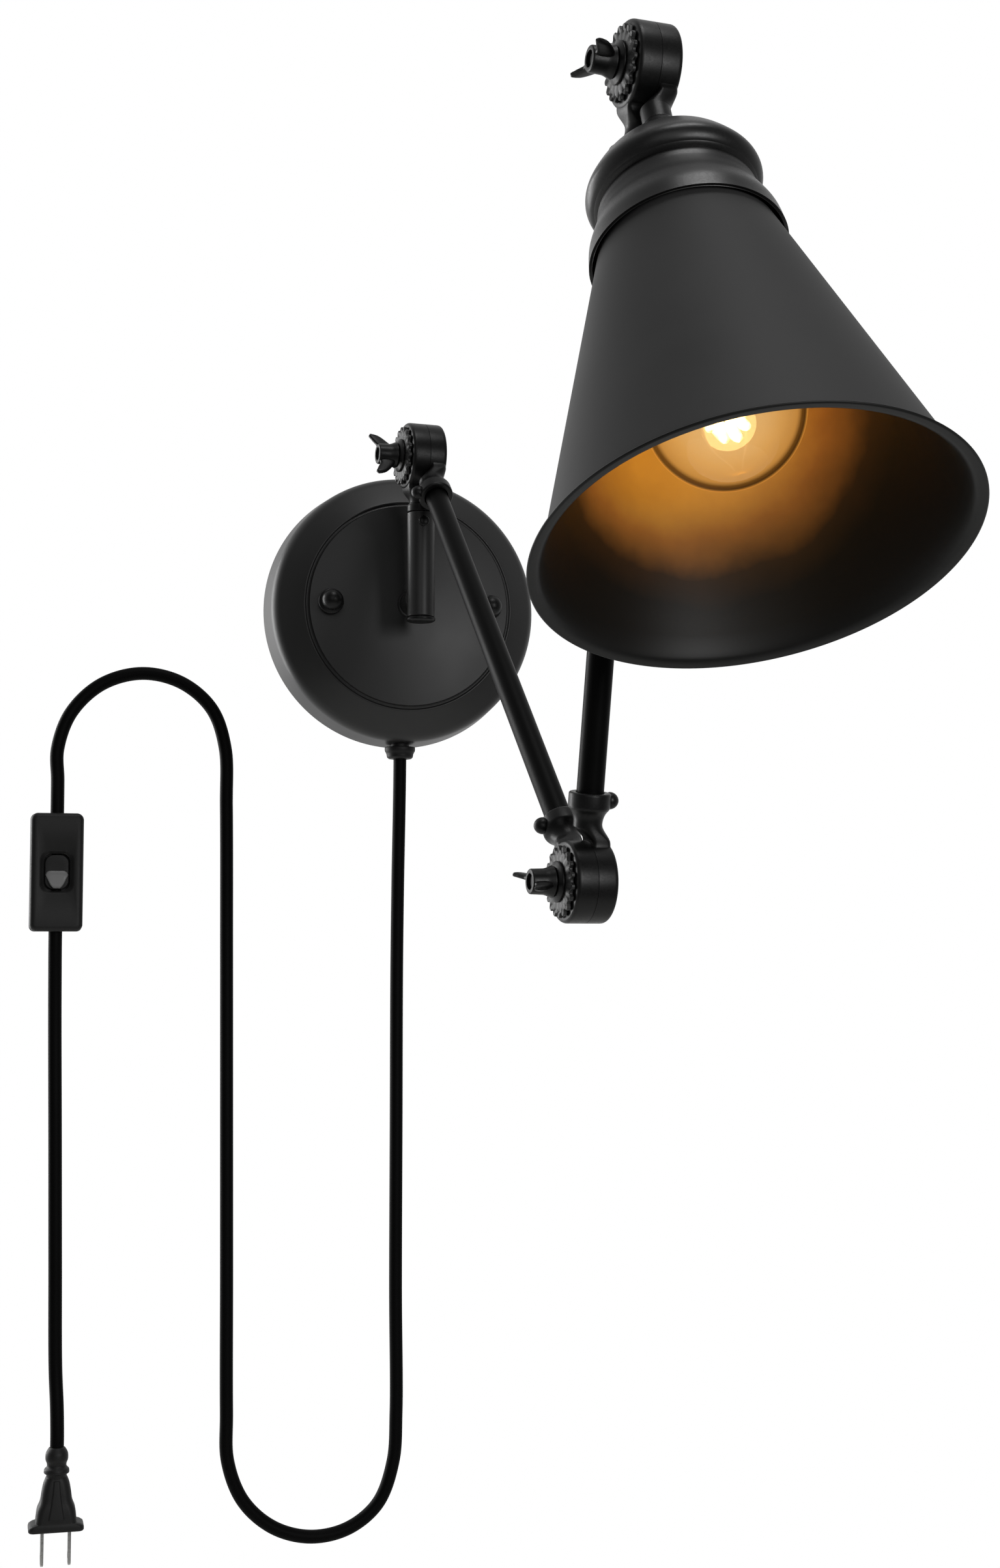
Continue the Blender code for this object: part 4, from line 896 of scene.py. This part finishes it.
# %% Cap and collar
CAP_R, CAP_END = 0.0318, 0.066
COLLAR_TOP, COLLAR_END, COLLAR_R = 0.0667, 0.0905, 0.0352
bell = smooth_path(
    [
        (0.0044, 0.03), (0.0063, 0.03), (0.0078, 0.0332), (0.011, 0.0368), (0.0156, 0.041),
        (0.0203, 0.045), (0.0253, 0.05), (0.0292, 0.0552), (0.0314, 0.059), (CAP_R, 0.0612),
        (CAP_R - 0.0005, 0.0632), (CAP_R - 0.0016, 0.0648), (CAP_R - 0.0034, CAP_END),
    ],
    6,
)
cap_inside = (bell - (0.001, -0.0008))[::-1]
cap_inside[:, 0] = np.maximum(cap_inside[:, 0], 0.0044)
cap_ring = np.vstack([bell, cap_inside])
turned(
    "spun_cap", HEAD, cap_ring, 128, cap_black, "lamp_head", "shade_cap",
    ring=True,
)
collar_out = smooth_path(
    [
        (0.0175, COLLAR_TOP), (COLLAR_R - 0.0078, COLLAR_TOP),
        (COLLAR_R - 0.0067, COLLAR_TOP + 0.0012), (COLLAR_R - 0.006, COLLAR_TOP + 0.0045),
        (COLLAR_R - 0.0048, COLLAR_TOP + 0.0083),
        (COLLAR_R - 0.0028, COLLAR_TOP + 0.0128), (COLLAR_R - 0.001, COLLAR_TOP + 0.0175),
        (COLLAR_R, COLLAR_END),
    ],
    8,
)
collar_ring = np.vstack([collar_out, (collar_out - (0.001, -0.001))[::-1]])
collar_ring[len(collar_out)] = (COLLAR_R - 0.001, COLLAR_END)
turned(
    "spun_collar", HEAD, collar_ring, 128, cap_black, "lamp_head", "shade_collar",
    ring=True,
)

# %% Cone
SHADE_TOP, SHADE_TOP_R, SHADE_END, SHADE_R, WALL = 0.0875, 0.0317, 0.213, 0.0748, 0.001
CONE_END = SHADE_R - 0.0037
SLOPE = (CONE_END - SHADE_TOP_R) / (SHADE_END - SHADE_TOP)
side_d = np.linspace(0, SHADE_END - 0.004 - SHADE_TOP, 24)[:, None]
cone_out = np.array([[SHADE_TOP_R, SHADE_TOP]]) + side_d * (SLOPE, 1)
lip = rounded(
    [
        cone_out[-1], (CONE_END - SLOPE * 0.0019, SHADE_END - 0.0019),
        (SHADE_R - 0.0005, SHADE_END - 0.0012),
        (SHADE_R + 0.0001, SHADE_END - 0.0006), (SHADE_R - 0.0005, SHADE_END),
        (CONE_END - 0.0003, SHADE_END - 0.0006), cone_out[-1] - (WALL, 0),
    ],
    [0.0014, 0.0004, 0.0005, 0.0004, 0.0018],
    7,
)
shade_line = np.vstack(
    [[(0.0175, SHADE_TOP)], cone_out[:-1], lip, cone_out[-2:0:-1] - (WALL, 0),
     [(SHADE_TOP_R - WALL, SHADE_TOP + WALL), (0.0175, SHADE_TOP + WALL)]]
)
inner_rows = slice(len(cone_out) + 8, len(shade_line))
turned(
    "spun_cone_shade", HEAD, shade_line, 192, shade_black_painted_light, "lamp_head", "shade",
    30, True, (shade_inside_painted_glow, inner_rows),
)
print("shade mouth", round(2 * SHADE_R * 1000), "mm across")

# %% [markdown]
# ## Lamp holder
# Inside the shade a phenolic holder carries the brass screw shell. A threaded ring and a spacer
# clamp the shade on it.

# %% Lamp holder
holder_line = rounded(
    [
        (0.0044, 0.062), (0.015, 0.062), (0.017, 0.0635), (0.019, 0.064), (0.019, 0.0664),
        (0.017, 0.0664), (0.017, 0.108), (0.0149, 0.108), (0.0149, 0.068), (0.0044, 0.068),
    ],
    [0.0008, 0.0004, 0.0004, 0.0003, 0.0004, 0.0008, 0.0006, 0.0004],
)
turned(
    "phenolic_holder", HEAD, np.vstack([holder_line, holder_line[:1]]), 72, holder_black,
    "lamp_head", "lamp_holder",
)
RING_TOP, RING_END, RING_BORE, RIDGE = 0.0888, 0.0938, 0.0173, 0.0012
ridge = np.arange(RING_TOP, RING_END, 0.0002)
ring_out = np.stack([0.0207 + 0.0003 * np.cos((ridge - RING_TOP) / RIDGE * 2 * np.pi), ridge], -1)
ring_line = np.vstack(
    [[(RING_BORE, RING_TOP)], ring_out, [(RING_BORE, RING_END), (RING_BORE, RING_TOP)]]
)
turned(
    "ridged_shade_ring", HEAD, ring_line, 96, holder_black, "lamp_head", "shade_ring",
)
turned_parts = {
    "brass_shell": ("screw_shell", brass, "brass", 0.0137, 0.0146, 0.082, 0.107),
    "card_spacer": ("shade_spacer", holder_black, "black_plastic", 0.0173, 0.0195, 0.068, 0.0872),
}
for name, (node, finish, slot, bore, outer, top, end) in turned_parts.items():
    line = rounded([(bore, top), (outer, top), (outer, end), (bore, end), (bore, top)], 0.0003, 4)
    turned(name, HEAD, line, 72, finish, "lamp_head", node)

# %% [markdown]
# ## Bulb
# A round clear bulb screws into the holder. Its brass base has a rolled thread, which is a
# radius that falls and rises once in each turn along the axis. The blown glass is very thin: a
# film, so one closed skin stands for it. The filament is a coil hung between two support wires.

# %% Bulb
BASE_R, BULB_R, BULB_MIDDLE, BULB_START, BASE_END = 0.013, 0.0275, 0.157, 0.079, 0.112


def rolled_thread(radius, depth, pitch, start, end, turns=72, rows=70):
    """r = radius - depth (1 - cos(2 pi h / pitch - a)) / 2, a thread that climbs with the angle."""
    h = np.linspace(start, end, rows)[:, None]
    a = (np.arange(turns) * 2 * np.pi / turns)[None, :]
    fade = np.clip((h - start) / pitch, 0, 1) * np.clip((end - h) / pitch, 0, 1)
    r = radius - depth * fade * (1 - np.cos(2 * np.pi * h / pitch - a)) / 2
    body = np.stack([r * np.cos(a), r * np.sin(a), h + 0 * a], -1)
    foot = [
        (0, BULB_START), (0.0045, BULB_START), (0.0085, BULB_START + 0.004),
        (radius - 0.001, start - 0.0006),
    ]
    return np.concatenate([revolve(foot, turns), body, revolve([(0.011, end), (0, end)], turns)])


thread = rolled_thread(BASE_R, 0.0011, 0.0036, 0.0862, BASE_END)
piece(
    "rolled_brass_base", [(apply(HEAD, thread), False)], brass, "bulb", "bulb_base"
)
arc = np.radians(np.linspace(-38, 90, 40))
globe = np.stack([BULB_R * np.cos(arc), BULB_MIDDLE + BULB_R * np.sin(arc)], -1)
neck = smooth_path(
    [(0.0111, 0.1085), (0.0112, 0.115), (0.0135, 0.124), (0.018, 0.1335), globe[0]], 8
)
envelope = np.vstack([[(0, 0.1085)], neck[:-1], globe])
turned(
    "blown_glass_globe", HEAD, envelope, 128, bulb_glass_painted_glow, "bulb", "bulb_glass", 60
)

# %% Filament
support = smooth_path(
    [(-0.003, 0, 0.112), (-0.0034, 0, 0.13), (-0.007, 0, 0.148), (-0.008, 0, 0.156)], 6
)
across = smooth_path(
    [
        (-0.008, 0.0, 0.156), (-0.009, 0.003, 0.168), (-0.0062, -0.003, 0.16),
        (-0.005, 0.004, 0.173), (-0.0022, -0.003, 0.161), (0.0, 0.004, 0.172),
        (0.0022, -0.002, 0.16), (0.0046, 0.003, 0.166), (0.0066, -0.002, 0.158),
        (0.008, 0.0, 0.156),
    ],
    10,
)
mirrored = support * (-1, 1, 1)
wires = [sweep(apply(HEAD, line), 0.0004, 10, (1, 0.2, 0)) for line in (support, mirrored)]
coil = sweep(apply(HEAD, across), 0.0016, 12, (0.3, 1, 0.2))
piece(
    "coiled_filament", [(coil, False), (wires[0], False), (wires[1], False)], hot_wire, "bulb",
    "bulb_filament", 60,
)
print("bulb", round(2 * BULB_R * 1000), "mm across")

# %% [markdown]
# ## Cord fittings
# A bush with a tapered sleeve brings the cord out of the plate. The switch is two moulded shells
# with a split line at mid depth and a dished window, in which the rocker sits. Each shell is a
# stack of rounded outlines from back to front, so the soft edges and the dish are one surface.
# The rocker is grey: a lighter finger pad on its lower half, set on a black saddle whose black
# paints the shade on the sunken upper half.

# %% Bush
bush_line = rounded(
    [
        (0.00355, -0.0543), (0.0046, -0.0543), (0.0046, -0.0688), (0.0077, -0.0688),
        (0.0077, -0.0708), (0.0068, -0.0722), (0.0066, -0.074), (0.0056, -0.0748),
        (0.00355, -0.0748), (0.00355, -0.0543),
    ],
    [0.0005, 0.0003, 0.0005, 0.0007, 0.0008, 0.0006, 0.0004, 0.0004],
)
turned(
    "tapered_cord_bush", move(0, -0.01, 0), bush_line, 56, moulded_black, "wall_mount",
    "cord_gland",
)

# %% Switch
SWITCH = move(SWITCH_X, 0, SWITCH_MIDDLE) @ AWAY
HALF_X, HALF_Z, DEPTH = 0.0125, 0.0285, 0.018


def shell(sections):
    """Stack of (inset, corner radius, depth) outlines of the switch."""
    loops = [
        rounded_rectangle(HALF_X - i, HALF_Z - i, max(c - i, 0.0004), 96) for i, c, _ in sections
    ]
    return np.array(loops), [s[2] for s in sections]


bow = np.radians(np.linspace(0, 90, 8))
back_edge = [
    (0.0016 * (1 - math.sin(a)), 0.0026, 0.0003 + 0.0016 * (1 - math.cos(a))) for a in bow
]
loops, depths = shell(back_edge + [(0.0, 0.0026, 0.0082), (0.0004, 0.0026, 0.0088)])
base_shell = piece(
    "switch_back_shell", [(apply(SWITCH, stack_sections(loops, depths)), False)], moulded_black,
    "wall_mount", "switch_base",
)
front_edge = [
    (0.0026 * (1 - math.cos(a)), 0.0034, DEPTH - 0.0026 + 0.0026 * math.sin(a)) for a in bow
]
loops, depths = shell([(0.0004, 0.0034, 0.0092), (0.0, 0.0034, 0.0098), *front_edge])
DISH = (0.0078, 0.01)
dish = [
    (DISH[0] + 0.0004, DISH[1] + 0.0004, 0.0045, DEPTH), (DISH[0], DISH[1], 0.0045, DEPTH - 0.0003),
    (0.007, 0.0094, 0.0042, DEPTH - 0.0016), (0.0062, 0.0089, 0.004, DEPTH - 0.0021),
    (0.0061, 0.0088, 0.004, DEPTH - 0.0055), (0.0061, 0.0088, 0.004, DEPTH - 0.006),
]
loops = np.concatenate([loops, [rounded_rectangle(x, y, c, 96) for x, y, c, _ in dish]])
depths = depths + [d[3] for d in dish]
cover_shell = piece(
    "switch_front_shell", [(apply(SWITCH, stack_sections(loops, depths)), False)], moulded_black,
    "wall_mount", "switch_cover",
)

# %% Rocker
rocker_rows = [
    (0.0052, 0.008, 0.0038, -0.0052), (0.0056, 0.0083, 0.004, -0.0048),
    (0.0056, 0.0083, 0.004, -0.0034), (0.0054, 0.0081, 0.004, -0.003),
    (0.0048, 0.0075, 0.0036, -0.0029), (0.003, 0.005, 0.0022, -0.0029),
]
loops = np.array([rounded_rectangle(x, y, c, 96) for x, y, c, _ in rocker_rows])
saddle = stack_sections(loops, [DEPTH + r[3] for r in rocker_rows])
rise = np.clip(saddle[..., 1] / 0.0083, 0, 1)
saddle[..., 2] += rise * np.where(saddle[..., 2] < DEPTH - 0.004, 0.0018, 0.001)
pad_rows = [(0.0, -0.0034), (0.0, -0.0012), (0.0003, -0.0006), (0.0009, -0.0003), (0.0024, -0.0003)]
loops = np.array(
    [rounded_rectangle(0.0054 - i, 0.0043 - i, 0.0024 - i / 2, 96) for i, _ in pad_rows]
)
loops[..., 0] *= 1 + np.clip((loops[..., 1] - 0.002) / 0.011, -1, 0)
loops[..., 1] -= 0.0036
pad = stack_sections(loops, [DEPTH + row[1] for row in pad_rows])
lean = 0.0015 * (pad[..., 1] + 0.008) / 0.0086
pad[..., 2] -= lean * np.clip((pad[..., 2] - DEPTH + 0.0034) / 0.0022, 0, 1)
# The pad carries the rocker's grey, and the saddle's black paints shade on the upper half.
rocker = piece(
    "rocker_button", [(apply(SWITCH, pad), False), (apply(SWITCH, saddle), False)], moulded_black,
    "rocker", "rocker", 30, (rocker_grey, slice(None)),
)

# %% [markdown]
# ## Plug
# The plug has a round boot, a thin ring, a body that widens down to a flange, and two flat
# blades. The body is a stack of rounded outlines. A raised strip runs down its front and back.

# %% Plug
boot_line = rounded(
    [
        (0, 0.0002), (0.0036, 0.0002), (0.0053, -0.0024), (0.0054, -0.0056), (0.0046, -0.0072),
        (0.0045, -0.0088), (0.0059, -0.01), (0.006, -0.0118), (0.0048, -0.0124),
        (0.0048, -0.014), (0, -0.014),
    ],
    [0.0008, 0.0016, 0.0016, 0.001, 0.0008, 0.0006, 0.0005, 0.0004, 0.0003],
    7,
)
PLUG = move(PLUG_X, PLUG_Y, PLUG_TOP)
boot = turned(
    "round_plug_boot", PLUG, boot_line, 56, moulded_black, "wall_mount", "plug_boot",
)
body_rows = np.array(
    [
        (0.0046, 0.0038, 0.0036, -0.0133), (0.0051, 0.0042, 0.0038, -0.0138),
        (0.0061, 0.0048, 0.004, -0.0165), (0.0068, 0.0053, 0.004, -0.02),
        (0.0075, 0.0058, 0.004, -0.0245), (0.0088, 0.0064, 0.0038, -0.028),
        (0.0093, 0.0067, 0.0034, -0.0315), (0.0096, 0.0068, 0.0032, -0.0342),
        (0.0114, 0.0069, 0.0028, -0.0348), (0.0126, 0.007, 0.0026, -0.0356),
        (0.0129, 0.007, 0.0026, -0.0364), (0.0129, 0.007, 0.0026, -0.0376),
        (0.0125, 0.0067, 0.0024, -0.0381),
    ]
)
fine = smooth_path(body_rows[1:8], 6)
body_rows = np.vstack([body_rows[:1], fine, body_rows[8:]])
loops = np.array([rounded_rectangle(x, y, c, 72) for x, y, c, _ in body_rows])
strip_rows = [
    (0.0016, -0.015), (0.0019, -0.02), (0.0027, -0.026), (0.0036, -0.031), (0.0038, -0.0322)
]
front_y = np.interp([-z for _, z in strip_rows], -body_rows[:, 3], body_rows[:, 1])
strip_loops = np.array(
    [rounded_rectangle(x, y + 0.0006, 0.0009, 72) for (x, _), y in zip(strip_rows, front_y)]
)
plug_body = piece(
    "moulded_plug_body",
    [
        (apply(PLUG, stack_sections(loops, body_rows[:, 3])), False),
        (apply(PLUG, stack_sections(strip_loops, [z for _, z in strip_rows])), False),
    ],
    moulded_black, "wall_mount", "plug_body",
)

# %% Plug blades
FACE = -0.038


def blade(side):
    """A flat blade: the outline at 72 angles is a rounded rectangle, carried through its
    thickness with a small bevel, and a ring of the same points makes its hole."""
    length = 0.0165
    outer = rounded_rectangle(0.00317, (length + 0.004) / 2, 0.0012, 72) - (0, (length - 0.004) / 2)
    a = (np.arange(72) + 0.5) * 2 * np.pi / 72
    hole = np.stack([0.0016 * np.cos(a), 0.0016 * np.sin(a) - length + 0.0042], -1)
    middle = outer.mean(axis=0)
    small = middle + (outer - middle) * 0.95
    rows = [
        (small, -0.00075), (outer, -0.0006), (outer, 0.0006), (small, 0.00075), (hole, 0.00075),
        (hole, -0.00075),
    ]
    flat = np.stack([np.column_stack([p[:, 0], p[:, 1], np.full(72, z)]) for p, z in rows])
    stand = move(PLUG_X + side * 0.00635, PLUG_Y, PLUG_TOP + FACE) @ turn("Z", 90) @ turn("X", 90)
    return apply(stand, flat)


blades = [
    piece(
        f"nickel_blade_{word}", [(blade(side), True)], nickel, "wall_mount",
        f"plug_blade_{word}", 25,
    )
    for side, word in ((-1, "left"), (1, "right"))
]

# %% [markdown]
# ## Parts that stay as they are
# The bracket, studs, nuts and nipples behind the plate and inside the head have the right shape
# already. They get the zinc or brass finish.

# %% Finishes of the kept parts
kept = {
    "mounting_bracket": zinc, "stud_left": zinc, "stud_right": zinc, "plate_nipple": zinc,
    "nipple_nut": zinc, "head_nipple": zinc, "head_nipple_nut": zinc, "centre_contact": brass,
}
for name, finish in kept.items():
    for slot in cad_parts[name].material_slots:
        slot.material = finish
print(len(kept), "parts keep their shape")

# %% [markdown]
# ## Floor and light
# A pale disc stands for the floor, well below the plug. The light is that of a white studio. Its
# strongest panel stands behind the wall's plane at the left and draws bright edges on the black
# lamp. Weaker panels stand in front, at the right and above, so the black stays deep. A small
# warm light sits in the bulb.

# %% Floor
floor_material, tree, shader = start_material("pale_matt_floor", Roughness=0.9)
place = add(tree, "ShaderNodeTexCoord").outputs["Object"]
cloud = noise(tree, place, 3.0, 3.0)
colour_by(tree, cloud, shader.inputs["Base Color"], (0.3, "#e6e6e4"), (0.7, "#eeeeec"))
floor_mesh = bpy.data.meshes.new("floor")
disc = revolve([(0, -0.75), (0.9, -0.75)], 96)
floor_mesh.from_pydata(disc.reshape(-1, 3), [], quads(2, 96, False).reshape(-1, 4))
floor_mesh.materials.append(floor_material)
floor = bpy.data.objects.new("floor", floor_mesh)
scene.collection.objects.link(floor)

# %% Light
scene.view_settings.view_transform = "Standard"
world = bpy.data.worlds.new("studio")
scene.world = world
world.use_nodes = True
tree = world.node_tree
tree.nodes.clear()
seen = add(tree, "ShaderNodeBackground", {"Color": paint("#ffffff"), "Strength": 1.0})
direction = add(tree, "ShaderNodeTexCoord").outputs["Generated"]
axes = add(tree, "ShaderNodeSeparateXYZ", {"Vector": direction})
behind = add(
    tree, "ShaderNodeMapRange", {0: axes.outputs["Y"], 1: -0.5, 2: 0.9, 3: 0.13, 4: 0.9}
)
light = add(
    tree, "ShaderNodeBackground", {"Color": paint("#ffffff"), "Strength": behind.outputs[0]}
)
camera_ray = add(tree, "ShaderNodeLightPath").outputs["Is Camera Ray"]
either = add(tree, "ShaderNodeMixShader", {0: camera_ray, 1: light.outputs[0], 2: seen.outputs[0]})
add(tree, "ShaderNodeOutputWorld", {"Surface": either.outputs[0]})


def panel(name, at, aim, width, height, watts):
    """A soft panel at a place, turned to face another."""
    lamp = bpy.data.lights.new(name, "AREA")
    lamp.shape = "RECTANGLE"
    lamp.size = width
    lamp.size_y = height
    lamp.energy = watts
    holder = bpy.data.objects.new(name, lamp)
    toward = Matrix.Translation(at).to_translation() - Matrix.Translation(aim).to_translation()
    facing = toward.to_track_quat("Z", "Y").to_matrix().to_4x4()
    holder.matrix_world = Matrix.Translation(at) @ facing
    scene.collection.objects.link(holder)


middle = (-0.05, -0.15, -0.08)
panel("left_back_panel", (-1.05, 0.85, 0.05), middle, 0.5, 1.2, 15)
panel("front_panel", (-0.35, -1.7, 0.3), middle, 0.9, 0.9, 2.5)
panel("key_panel", (0.34, -1.35, 0.04), middle, 0.45, 0.45, 6)
panel("top_panel", (0.1, -0.6, 1.2), middle, 0.6, 0.4, 5)
glow = bpy.data.lights.new("bulb_light", "POINT")
glow.color = paint("#ffca80")[:3]
glow.energy = 0.15
glow.shadow_soft_size = 0.008
glow_at = bpy.data.objects.new("bulb_light", glow)
glow_at.location = HEAD[:3, 3] + HEAD[:3, :3] @ (0, 0, 0.15)
scene.collection.objects.link(glow_at)
